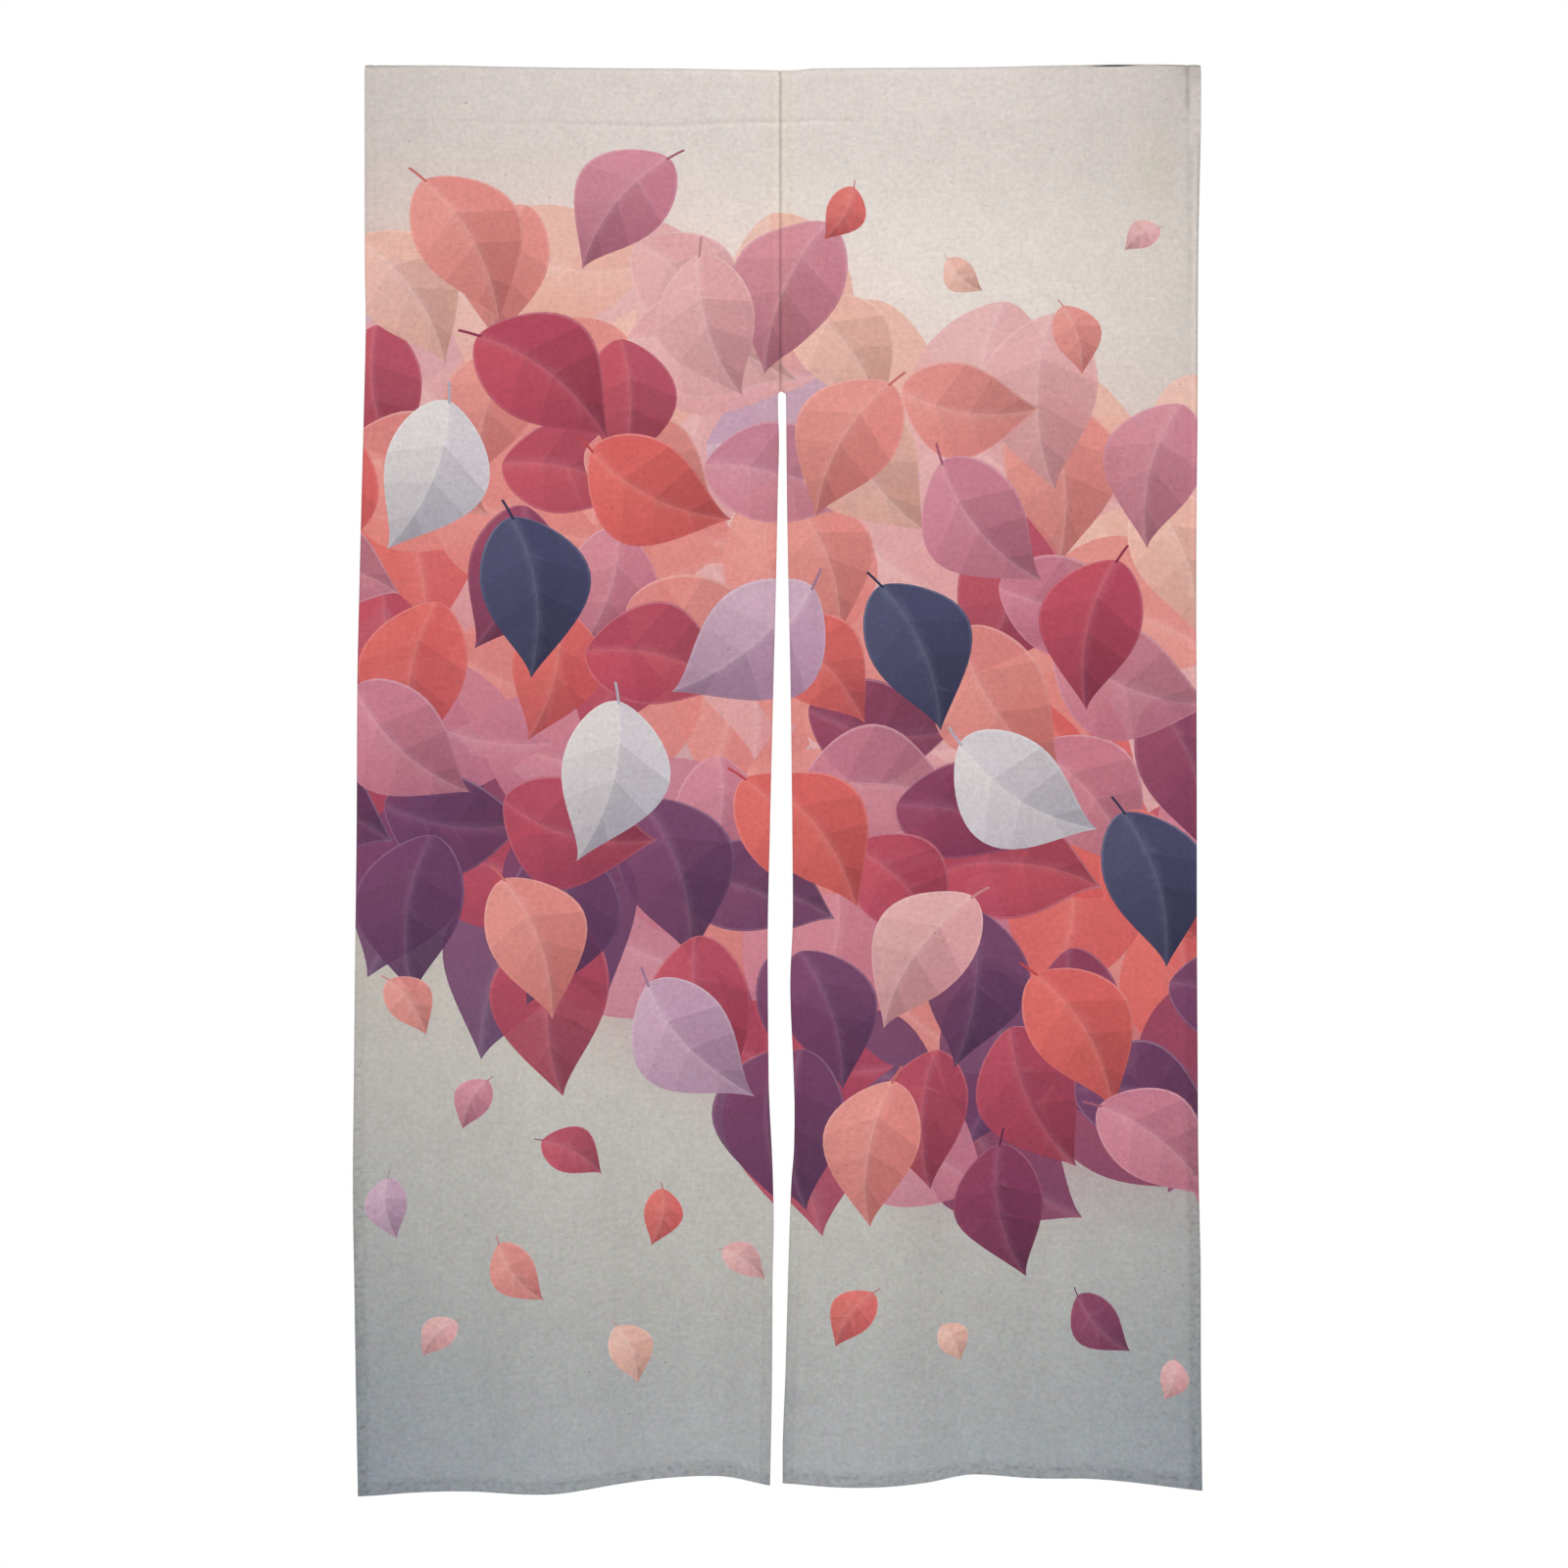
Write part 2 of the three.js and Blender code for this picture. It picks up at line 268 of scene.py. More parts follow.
def seam_hold(flat_x, flat_d):
    """How firmly the seam holds the cloth near it: 1 at its edge, fading off sideways and below its end."""
    aside = np.abs(flat_x)
    t = np.clip((flat_d - SLIT_TOP + 0.8 * aside) / (SLIT_ROUND + 1.6 * aside), 0, 1)
    at_edge = 1 - (1 - t) ** 2.6
    opened = at_edge + (smooth(t) - at_edge) * np.clip(aside / 3.0, 0, 1)
    return (1 - opened) * line(aside, SEAM_REACH)


def puckers(panel, flat_x, flat_d):
    """Small waves of the whole cloth, in front of its smooth surface, gathered along its sewing."""
    seed = panel["seed"]
    out = 0.3 * np.sin(flat_x / 37 + flat_d / 71 + seed) * np.sin(flat_d / 83 - flat_x / 59 + 2 * seed)
    for k, (distance, s) in enumerate(zip(edge_distances(flat_x, flat_d), (flat_d, flat_d, flat_x))):
        wave = ripple(s, seed + k) * (0.7 + 0.5 * sway(s, seed + k))
        out = out + HEM_PUCKER * wave * line(distance - STITCH_INSET, 8.5)
    wave = (0.3 + 0.7 * pocket_line(flat_x)) * ripple(flat_x * 0.8, seed + 7)
    return out + POCKET_PUCKER * wave * line(flat_d - pocket_stitch(flat_x), 11.0)


def dents(flat_x, flat_d):
    """The relief of one face alone: rounded edges, full borders and lines of stitching drawn in."""
    drawn = 0.1 + 0.9 * pocket_line(flat_x)
    out = -POCKET_DENT * drawn * line(flat_d - pocket_stitch(flat_x), 1.8)
    squarer = 0.3 + 0.7 * smooth(flat_d / 40)
    for distance, rounder in zip(edge_distances(flat_x, flat_d), (squarer, 1.3, 1.0)):
        turn = np.where(distance < EDGE_ROUND, -0.6 * (1 - distance / EDGE_ROUND) ** 2, 0.0)
        out = out + rounder * turn + BORDER_FULLNESS * bump((distance - 4.6) / 5.0)
        out = out - HEM_DENT * line(distance - STITCH_INSET, 1.3)
    return out


def hanging(panel, flat_x, flat_d):
    """Where a point of the flat cloth hangs: x, y and z of the printed face, below the pocket."""
    across = across_of(flat_x)
    along = np.clip((flat_d - JOIN) / (FLAT_LENGTH - JOIN), 0, 1)
    first = panel["edges"][0]
    top_x = first["outer"] + (first["inner"] - first["outer"]) * across
    start = JOIN + read(TOP_LINE, "drop", top_x)
    end = read(panel["hem"], "down", across)
    down = start + (end - start) * along
    inner_end = read(panel["hem"], "down", 1.0)
    inner_down = JOIN + TOP_SAG + (inner_end - JOIN - TOP_SAG) * along
    outer = read(panel["edges"], "outer", down)
    inner = read(panel["edges"], "inner", inner_down)
    x = outer + (inner - outer) * across - panel["side"] * widened(panel, flat_x, flat_d)
    x = x + (SEAM_X - inner) * seam_hold(flat_x, flat_d) + panel["side"] * SEAM_GAP
    y = FRONT_PLANE - forward(panel, across, down) - puckers(panel, flat_x, flat_d) - dents(flat_x, flat_d)
    return x, y, TOP_SAG - down


# The print: leaves in a drift across both halves, on a ground that fades from ivory to blue-grey
GROUND = table(
    "down red green blue",
    (0, 0.850, 0.812, 0.792), (85, 0.858, 0.820, 0.798), (200, 0.892, 0.855, 0.826),
    (330, 0.890, 0.852, 0.824), (900, 0.805, 0.776, 0.740), (1080, 0.758, 0.742, 0.716),
    (1230, 0.722, 0.712, 0.692), (1340, 0.680, 0.682, 0.675), (1462, 0.654, 0.667, 0.679),
)
PALEST = 25.0  # where across the curtain the painted side shade is least, so its ground is palest
TOP_LIFT = {"x": 200, "half": 260, "more": 0.018}  # a paler stretch of the pocket, with less painted shade
STAIN = {"x": 383, "down": 110, "half_x": 34, "half_down": 60}  # a faint yellowish stain
STAIN_TINT = np.array([0.012, 0.008, 0.042])  # what it takes off each colour
BLUSH = np.array([0.93, 0.70, 0.66])  # the haze of colour behind the drift, at its top
BLUSH_DEEPER = np.array([0.28, 0.38, 0.25])  # how much darker it is at the drift's foot
BLUSH_STRENGTH = 0.55
COOLER = np.array([0.05, -0.12, -0.32])  # how the shading of the lower ground leans to blue

# Light and dark half of a leaf, in display colour
COLOURS = {
    "peach": ((0.92, 0.74, 0.68), (0.87, 0.62, 0.56)),
    "blush": ((0.89, 0.69, 0.68), (0.83, 0.56, 0.58)),
    "salmon": ((0.89, 0.59, 0.55), (0.83, 0.45, 0.44)),
    "coral": ((0.87, 0.43, 0.40), (0.77, 0.30, 0.32)),
    "rose": ((0.82, 0.54, 0.60), (0.68, 0.38, 0.47)),
    "crimson": ((0.75, 0.31, 0.37), (0.57, 0.20, 0.31)),
    "wine": ((0.56, 0.25, 0.36), (0.41, 0.17, 0.31)),
    "plum": ((0.46, 0.26, 0.40), (0.32, 0.19, 0.34)),
    "navy": ((0.30, 0.31, 0.43), (0.19, 0.20, 0.33)),
    "mist": ((0.86, 0.84, 0.83), (0.73, 0.71, 0.77)),
    "lilac": ((0.80, 0.67, 0.74), (0.66, 0.50, 0.62)),
}

# The drift's upper and lower bound across the curtain
DRIFT = table(
    "x top bottom",
    (-430, 110, 860), (-215, 115, 1000), (0, 180, 1130), (215, 290, 1215), (430, 350, 1190),
)

# Which colours a layer draws from, by how deep in the drift a leaf lies, from 0 at its top to 1 at its foot
LAYERS = [
    {
        "pitch": 100, "length": (180, 225), "opacity": 0.85, "rim": False,
        "colours": table(
            "to names",
            (0.25, "peach blush peach lilac"),
            (0.5, "salmon blush coral salmon"),
            (0.75, "coral rose crimson salmon"),
            (2.0, "wine plum crimson rose"),
        ),
    },
    {
        "pitch": 126, "length": (140, 185), "opacity": 0.88, "rim": True,
        "colours": table(
            "to names",
            (0.2, "blush salmon rose peach"),
            (0.45, "salmon coral rose crimson"),
            (0.7, "coral crimson wine rose"),
            (2.0, "plum wine plum crimson"),
        ),
    },
]
DRIFT_SEED = 20
DRIFT_LEVELS = (175.0, 1400)  # the middle of no leaf in the layers lies outside these
DRIFT_DEPTHS = (0.04, 0.97)  # nor outside these depths in the drift
DRIFT_HALF = FLAT_HALF + 70  # nor further aside
ROW_PITCH = 0.86  # from one row of a layer's leaves to the next, of its pitch
STRAY_ACROSS, STRAY_DOWN = 0.3, 0.25  # how far a leaf strays from its place at most, of the pitch
LEAN, LEAN_STRAY = 30, 55  # a leaf's turn from straight down, and how far it strays from that, in degrees

# Single leaves in front: where the middle of each lies, its length, its turn from straight down, its colour
LEAF_COLUMNS = "x down length turn colour"
FRONT_LEAVES = table(
    LEAF_COLUMNS,
    (-330, 190, 164, 28, "salmon"), (-160, 150, 146, -38, "rose"), (-245, 330, 174, 52, "crimson"),
    (-60, 265, 154, 18, "blush"), (-372, 420, 164, -22, "mist"), (-120, 430, 164, 64, "coral"),
    (-262, 545, 168, 8, "navy"), (70, 395, 160, -30, "salmon"), (-40, 590, 172, -50, "lilac"),
    (215, 470, 164, 40, "rose"), (128, 610, 164, 22, "navy"), (-372, 690, 162, 48, "rose"),
    (-180, 735, 168, -14, "mist"), (330, 590, 160, -12, "crimson"), (20, 800, 164, 36, "coral"),
    (252, 745, 172, 58, "mist"), (-250, 905, 154, 20, "salmon"), (145, 925, 162, -36, "blush"),
    (375, 850, 164, 16, "navy"), (-70, 1005, 160, 44, "lilac"), (300, 1010, 164, 30, "coral"),
    (95, 1120, 152, -8, "salmon"), (385, 1120, 148, 54, "rose"), (235, 1185, 140, 12, "wine"),
)

# Small leaves scattered round the drift
LOOSE_LEAVES = table(
    LEAF_COLUMNS,
    (60, 150, 62, -30, "coral"), (190, 215, 50, 48, "peach"), (300, 285, 74, 14, "salmon"),
    (372, 180, 44, -56, "blush"), (-376, 965, 70, 34, "salmon"), (-305, 1065, 58, -28, "rose"),
    (-205, 1120, 72, 56, "crimson"), (-390, 1170, 64, 8, "lilac"), (-120, 1190, 60, -12, "coral"),
    (-258, 1235, 74, 40, "salmon"), (-30, 1238, 52, 60, "blush"), (-345, 1305, 50, -44, "blush"),
    (-150, 1330, 66, 18, "peach"), (70, 1290, 68, -34, "coral"), (172, 1322, 46, 26, "peach"),
    (330, 1300, 78, 46, "wine"), (398, 1352, 44, -16, "blush"),
)

# The shape of a leaf, in shares of its length
LEAF_BREADTH = 0.68
LEAF_CURVE = 0.10  # how far its midrib bends
LEAF_THIN = 0.004  # no half of a leaf is drawn where it is narrower
LEAF_STATIONS = 17  # the fewest points along a leaf
LEAF_STEP = 6.0  # between them on a long one, in millimetres
STALK_LENGTH = 0.11
STALK_WIDTH = 0.018
RIM_WIDTH = 0.016
VEINS = (0.24, 0.46, 0.68)  # where along the midrib the side veins start
VEIN_REACH = 0.15  # how much further along the leaf a vein meets the edge
FACET_SHADE = 0.055  # how much darker the leaf is beyond each vein
RIM_COLOUR = np.array([0.97, 0.93, 0.92])  # what a leaf's rim pales towards
RIM_LIFT = 0.22  # how far, at the leaf's upper end
STALK_SHADE = 0.92  # how bright the stalk is, beside the leaf's dark half


def leaf_half_width(t):
    """Half the breadth of a leaf of length 1, from its stalk at 0 to its tip at 1."""
    t = np.clip(t, 0, 1)
    return 0.5 * LEAF_BREADTH * np.sin(np.pi * t ** 0.78) ** (0.78 + 0.5 * t)


class Leaf:
    """One printed leaf: its outline and its colours on the flat cloth."""

    def __init__(self, x, down, length, turn, colour, opacity, rim=True, stalked=True, bend=1.0):
        self.length = length
        self.light, self.dark = COLOURS[colour]
        self.opacity = opacity
        self.rim = rim
        self.stalked = stalked
        self.bend = bend * LEAF_CURVE
        a = math.radians(turn)
        self.axis = np.array([math.sin(a), math.cos(a)])  # from stalk to tip, in flat_x and flat_d
        self.side = np.array([math.cos(a), -math.sin(a)])
        self.base = np.array([x, down]) - self.axis * length / 2
        steps = max(LEAF_STATIONS, round(length / LEAF_STEP))
        self.t = 0.5 - 0.5 * np.cos(np.linspace(0, np.pi, steps))  # closer together at its ends
        self.half_width = leaf_half_width(self.t)

    def place(self, t, s):
        """Flat places at t along the leaf and s beside its midrib, both in leaf lengths."""
        bow = self.bend * 4 * t * (1 - t)
        return (
            self.base
            + np.multiply.outer(t, self.axis) * self.length
            + np.multiply.outer(s + bow, self.side) * self.length
        )

    def local(self, flat):
        """The inverse of place."""
        rel = flat - self.base
        t = rel @ self.axis / self.length
        return t, rel @ self.side / self.length - self.bend * 4 * t * (1 - t)

    def halves(self, inset=0.0):
        """The outlines of the two halves: down the midrib and back along the edge, or inset from it."""
        wide = np.flatnonzero(self.half_width - inset > LEAF_THIN)
        for hand in (-1, 1):
            yield hand, self.outline(hand, wide[0] - 1, wide[0], wide[-1], inset)

    def outline(self, hand, rib_start, edge_start, end, inset=0.0):
        """An outline between the midrib and the edge of one half, by the numbers of its stations."""
        rib, rim = self.t[rib_start:end + 2], slice(edge_start, end + 1)
        edge = self.place(self.t[rim], hand * (self.half_width[rim] - inset))
        return np.vstack([self.place(rib, np.zeros_like(rib)), edge[::-1]])

    def facets(self):
        """For each half, the outline of what lies beyond each side vein."""
        end = np.flatnonzero(self.half_width > LEAF_THIN)[-1]
        for start in VEINS:
            rib_start, edge_start = np.searchsorted(self.t, (start, start + VEIN_REACH))
            for hand in (-1, 1):
                yield hand, start, self.outline(hand, rib_start, edge_start, end)

    def stalk(self):
        """The outline of the stalk."""
        t = np.array([-STALK_LENGTH, -STALK_LENGTH / 2, 0.02])
        left, right = (self.place(t, np.full(3, hand * STALK_WIDTH / 2)) for hand in (-1, 1))
        return np.vstack([left, right[::-1]])


def drift_depth(x, down):
    """0 at the drift's upper bound and 1 at its lower one."""
    x = np.clip(x, -FLAT_HALF, FLAT_HALF)
    top = read(DRIFT, "top", x)
    return (down - top) / (read(DRIFT, "bottom", x) - top)


def layer_leaves(layer, draw):
    """The leaves of one layer of the drift, off their even places by chance, in a shuffled order."""
    pitch = layer["pitch"]
    highest, lowest = DRIFT_LEVELS
    shallowest, deepest = DRIFT_DEPTHS
    placed = []
    for i in range(1, int(lowest / (ROW_PITCH * pitch))):
        for j in range(-8, 9):
            x = (j + 0.5 * (i % 2)) * pitch + draw.uniform(-STRAY_ACROSS, STRAY_ACROSS) * pitch
            down = i * ROW_PITCH * pitch + draw.uniform(-STRAY_DOWN, STRAY_DOWN) * pitch
            depth = float(drift_depth(x, down))
            names = next(row["names"] for row in layer["colours"] if depth < row["to"])
            leaf = Leaf(
                x, down, draw.uniform(*layer["length"]), LEAN + draw.uniform(-LEAN_STRAY, LEAN_STRAY),
                draw.choice(names.split()), layer["opacity"], layer["rim"], False, draw.choice((-1, 1)),
            )
            if shallowest < depth < deepest and abs(x) < DRIFT_HALF and down > highest:
                placed.append(leaf)
    draw.shuffle(placed)
    return placed


def leaves():
    """All leaves of the print, from the back of the drift to its front."""
    draw = random.Random(DRIFT_SEED)
    out = [leaf for layer in LAYERS for leaf in layer_leaves(layer, draw)]
    for rows, opacity in ((FRONT_LEAVES, 0.97), (LOOSE_LEAVES, 0.9)):
        out += [Leaf(**row, opacity=opacity, bend=(-1) ** k) for k, row in enumerate(rows)]
    return out


LEAVES = leaves()


def ground_colour(flat):
    """The cloth's ground, with a blush behind the drift, and painted shade that makes it paler in the middle
    than at the sides and darker along its edges.
    """
    x, down = flat[..., 0], flat[..., 1]
    colour = np.stack([read(GROUND, channel, down) for channel in ("red", "green", "blue")], -1)
    depth = drift_depth(x, down)
    haze = rise(depth, -0.1, 0.35) * smooth((1.04 - depth) / 0.3)
    blush = BLUSH - BLUSH_DEEPER * smooth(depth)[..., None]
    colour = colour + (blush - colour) * (BLUSH_STRENGTH * haze)[..., None]
    # painted shade: the ground darkens towards both sides, more so lower down, where the shade leans to blue
    away = np.abs(x - PALEST) / FLAT_HALF
    lower = rise(down, 1000, 400)
    darker = np.where(x < PALEST, 0.065 + 0.06 * lower, 0.10 + 0.04 * lower) * away**2.2
    darker = darker - TOP_LIFT["more"] * bump((x - TOP_LIFT["x"]) / TOP_LIFT["half"]) * fall(down, 30, 50)
    # painted shade along the cut edges
    edge = 0.012 * np.exp((np.abs(x) - FLAT_HALF) / 18)
    cooler = 1 + rise(down, 800, 450)[..., None] * COOLER
    colour = colour * (1.01 - darker[..., None] * cooler - edge[..., None])
    return colour * (1 - mound(STAIN, x, "x", down, "down")[..., None] * STAIN_TINT)


def leaf_colour(leaf, hand, flat):
    """A leaf's colour at flat places: one half darker, deeper towards its lower end."""
    s = leaf.local(flat)[1]
    light, dark = np.array(leaf.light), np.array(leaf.dark)
    low = leaf.base[1] + min(0.0, leaf.axis[1]) * leaf.length
    height = abs(leaf.axis[1]) * leaf.length + 0.5 * LEAF_BREADTH * leaf.length
    lower = rise(flat[..., 1], low, height)
    shade = np.clip(0.15 + 0.62 * lower + (0.22 if hand > 0 else -0.12), 0, 1)
    colour = light + (dark - light) * shade[..., None]
    rib = 0.10 * line(s, 0.02)
    return colour + (1 - colour) * rib[..., None]


def printed_colour(flat):
    """The ground and its leaves together, at flat places."""
    colour = ground_colour(flat)
    for leaf in LEAVES:
        t, s = leaf.local(flat)
        inside = (t > 0) & (t < 1) & (np.abs(s) < leaf_half_width(t))
        for hand in (-1, 1):
            covered = inside & (hand * s > 0)
            own = leaf_colour(leaf, hand, flat[covered])
            colour[covered] += (own - colour[covered]) * leaf.opacity
    return colour


# The mesh of the flat cloth, cut along the print's outlines
GRID = 8.5  # the spacing of its free points
EDGE_STATIONS = (0.0, 0.7, 1.6, 2.8, 4.2, 5.6, 7.4, 9.3, STITCH_INSET, 11.1, HEM, 13.4, 17.0, 22.0)
EDGE_BAND = 23.0  # within this of an edge the mesh keeps to rows along it
EDGE_STEP = 4.0  # the spacing down the long edges
CLEARANCE = 2.2  # between a grid point and the leaves' outlines
SNAP = 0.02  # points of the plan nearer than this become one
GRID_TOP = JOIN + 7.5  # where the grid starts
JOIN_ROWS = (JOIN + 1.5, JOIN + 4.0)  # the rows above it
SLIT_ROWS = SLIT_TOP + np.array([-9, -6, -3.6, -1.8, -0.7, 0, 0.5, 1.1, 1.9, 2.9, SLIT_ROUND, 5.8, 8.4, 11.6])


def stations(start, end, step):
    """Even places from start to end, at most a step apart."""
    count = max(1, math.ceil(abs(end - start) / step))
    return np.linspace(start, end, count + 1)


def cross_stations():
    """Places from the side edge to the seam, as distances from the side edge."""
    near = np.array(EDGE_STATIONS)
    middle = stations(near[-1], FLAT_HALF - near[-1], GRID)[1:-1]
    return np.concatenate([near, middle, FLAT_HALF - near[::-1]])


def down_stations():
    """Places down the long edges, from the pocket to the hem."""
    near = FLAT_LENGTH - np.array(EDGE_STATIONS)[::-1]
    upper = stations(JOIN, SLIT_ROWS[0], EDGE_STEP)[:-1]
    middle = stations(SLIT_ROWS[-1], near[0], EDGE_STEP)[1:-1]
    return np.concatenate([upper, SLIT_ROWS, middle, near])


def grid_outline(xs, ys):
    """The outline of a grid: along its first row, down its last column, back and up again."""
    return (
        [(x, ys[0]) for x in xs]
        + [(xs[-1], y) for y in ys[1:]]
        + [(x, ys[-1]) for x in xs[::-1][1:]]
        + [(xs[0], y) for y in ys[::-1][1:-1]]
    )


class Plan:
    """Collects points, edges and faces for the triangulation."""

    def __init__(self):
        self.points = []
        self.edges = []
        self.faces = []
        self.tags = []

    def add(self, points):
        """Adds points and returns their numbers."""
        start = len(self.points)
        self.points.extend(map(tuple, points))
        return list(range(start, len(self.points)))

    def line(self, points):
        """Adds a line that the triangles keep to."""
        ids = self.add(points)
        self.edges.extend(zip(ids[:-1], ids[1:]))

    def face(self, points, tag):
        """Adds an outline, turned the same way as all others, with a tag for what lies inside it."""
        points = np.asarray(points)
        x, y = points[:, 0], points[:, 1]
        if np.sum(x * np.roll(y, -1) - np.roll(x, -1) * y) < 0:
            points = points[::-1]
        self.faces.append(self.add(points))
        self.tags.append(tag)


def plan_of(panel):
    """The flat half of the curtain, with its hems' inner edges and the leaves that touch it."""
    xs = panel["side"] * (FLAT_HALF - cross_stations())
    ds = down_stations()
    plan = Plan()
    low, high = min(xs), max(xs)
    plan.face(grid_outline(xs, ds), ("cloth",))
    field_d = ds[ds <= FLAT_LENGTH - HEM + 1e-6]
    field_x = xs[(np.abs(xs) >= HEM - 1e-6) & (np.abs(xs) <= FLAT_HALF - HEM + 1e-6)]
    plan.face([(x, d) for d, x in grid_outline(field_d, field_x)], ("field",))
    outlines = []
    for k, leaf in enumerate(LEAVES):
        middle = leaf.base + leaf.axis * leaf.length / 2
        if not low - leaf.length < middle[0] < high + leaf.length:
            continue
        for side, outline in leaf.halves():
            plan.face(outline, ("leaf", k, side))
            outlines.append(outline)
        if leaf.rim:
            for side, outline in leaf.halves(RIM_WIDTH):
                plan.face(outline, ("core", k, side))
                outlines.append(outline)
            for side, start, outline in leaf.facets():
                plan.face(outline, (f"facet {start}", k, side))
        if leaf.stalked:
            plan.face(leaf.stalk(), ("stalk", k, 0))
            outlines.append(leaf.stalk())
    for x in xs:
        distance = min(abs(x), FLAT_HALF - abs(x))
        if 0.1 < distance < EDGE_BAND and x not in field_x[[0, -1]]:
            plan.line([(x, d) for d in ds])
    plan.add(free_points(xs, ds, np.vstack(outlines)))
    return plan


def free_points(xs, ds, outlines):
    """Grid points between the leaves' outlines, close together along the hem and wider above it."""
    edge = len(EDGE_STATIONS)
    near_hem = [(x, d) for x in xs[edge:-edge] for d in ds[ds > FLAT_LENGTH - EDGE_BAND][:-1]]
    rows = [*JOIN_ROWS, *stations(GRID_TOP, FLAT_LENGTH - EDGE_STATIONS[-1], GRID)[:-1]]
    middle = [
        (x + (0.25 if i % 2 else -0.25) * GRID, d)
        for i, d in enumerate(rows)
        for x in xs[edge + 1:-edge - 1]
    ]
    cell = 3.0  # the taken points are sorted into squares of this size, wider than the clearance
    taken = {}
    for x, d in outlines:
        taken.setdefault((math.floor(x / cell), math.floor(d / cell)), []).append((x, d))
    kept = []
    for x, d in near_hem + middle:
        i, j = math.floor(x / cell), math.floor(d / cell)
        close = any(
            (x - u) ** 2 + (d - v) ** 2 < CLEARANCE**2
            for a in (i - 1, i, i + 1)
            for b in (j - 1, j, j + 1)
            for u, v in taken.get((a, b), ())
        )
        if not close:
            kept.append((x, d))
    return kept


def linear(colour):
    """Display colour to linear."""
    c = np.clip(colour, 0, 1)
    return np.where(c <= 0.04045, c / 12.92, ((c + 0.055) / 1.055) ** 2.4)


class FlatCloth:
    """The triangulated flat half: its points, triangles, their colours and which lie in the hems."""

    def __init__(self, panel):
        plan = plan_of(panel)
        points, _, triangles, _, _, owners = delaunay_2d_cdt(plan.points, plan.edges, plan.faces, 1, SNAP)
        tagged = [[plan.tags[k] for k in sorted(o)] for o in owners]
        on_cloth = [n for n, tags in enumerate(tagged) if ("cloth",) in tags]
        used, numbers = np.unique([triangles[n] for n in on_cloth], return_inverse=True)
        self.points = np.array([tuple(points[v]) for v in used])
        self.triangles = numbers.reshape(-1, 3)
        a, b, c = self.points[self.triangles].transpose(1, 0, 2)
        u, v = b - a, c - a
        wrong = u[:, 0] * v[:, 1] - u[:, 1] * v[:, 0] > 0
        self.triangles[wrong] = self.triangles[wrong][:, ::-1]
        tagged = [tagged[n] for n in on_cloth]
        self.in_field = np.array([("field",) in tags for tags in tagged])
        self.colours = self.paint(tagged)

    def paint(self, tagged):
        """The printed colour of each triangle's corners, from the outlines it lies in."""
        corners = self.points[self.triangles]
        colour = ground_colour(corners)
        members = {}
        for n, tags in enumerate(tagged):
            for tag in tags:
                if len(tag) == 3:
                    members.setdefault(tag, []).append(n)
        for k, leaf in enumerate(LEAVES):
            for side in (-1, 1):
                covered = members.get(("leaf", k, side), [])
                if not covered:
                    continue
                flat = corners[covered]
                own = leaf_colour(leaf, side, flat)
                colour[covered] += (own - colour[covered]) * leaf.opacity
                for start in VEINS:
                    beyond = sorted(set(members.get((f"facet {start}", k, side), ())) & set(covered))
                    shade = FACET_SHADE * leaf.opacity * (1.2 if side > 0 else 0.7)
                    colour[beyond] *= 1 - shade
                core = set(members.get(("core", k, side), []))
                rim = [n for n in covered if n not in core]
                if leaf.rim and rim:
                    lower = smooth((corners[rim][..., 1] - leaf.base[1]) / leaf.length + 0.2)
                    lift = (RIM_LIFT * (1 - lower))[..., None]
                    colour[rim] += (RIM_COLOUR - colour[rim]) * lift
            stalk = members.get(("stalk", k, 0), [])
            if stalk:
                own = np.array(leaf.dark) * STALK_SHADE
                colour[stalk] += (own - colour[stalk]) * leaf.opacity
        return colour


SEAM_CREASE_SHADE = np.array([0.075, 0.083, 0.098])  # what the painted shade in the seam's crease takes off each colour
SEAM_STRIP = np.array([-0.006, -0.002, 0.020])  # the yellower strips beside it
TOP_MARK = {"x": 341, "half": 32, "less": 0.85, "below": 0.13}  # a dark mark along the fold's top

# Painted shade lines and pale painted highlight streaks down the sides: what each takes off the left half and
# the right one (a highlight takes off a negative amount), its middle and half width from the side edge, and
# where on the way down it starts and ends, each with the length over which it does so
ABOVE, BELOW = -100, 2000  # beyond the cloth's ends
SIDE_SHADE_AND_LIGHT_LINES = table(
    "left right middle half start come end go",
    (0.018, 0, 0, 3.0, 90, 40, BELOW, 1),
    (0.012, 0.012, 0, 2.0, ABOVE, 1, BELOW, 1),
    (0, 0.035, 8.5, 3.0, 75, 25, 200, 70),
    (0, 0.08, 1.0, 1.3, 70, 30, 300, 120),
    (0, -0.0225, 4.2, 1.3, 70, 30, 600, 200),
    (0, -0.0225, 4.2, 1.3, 70, 30, BELOW, 1),
)


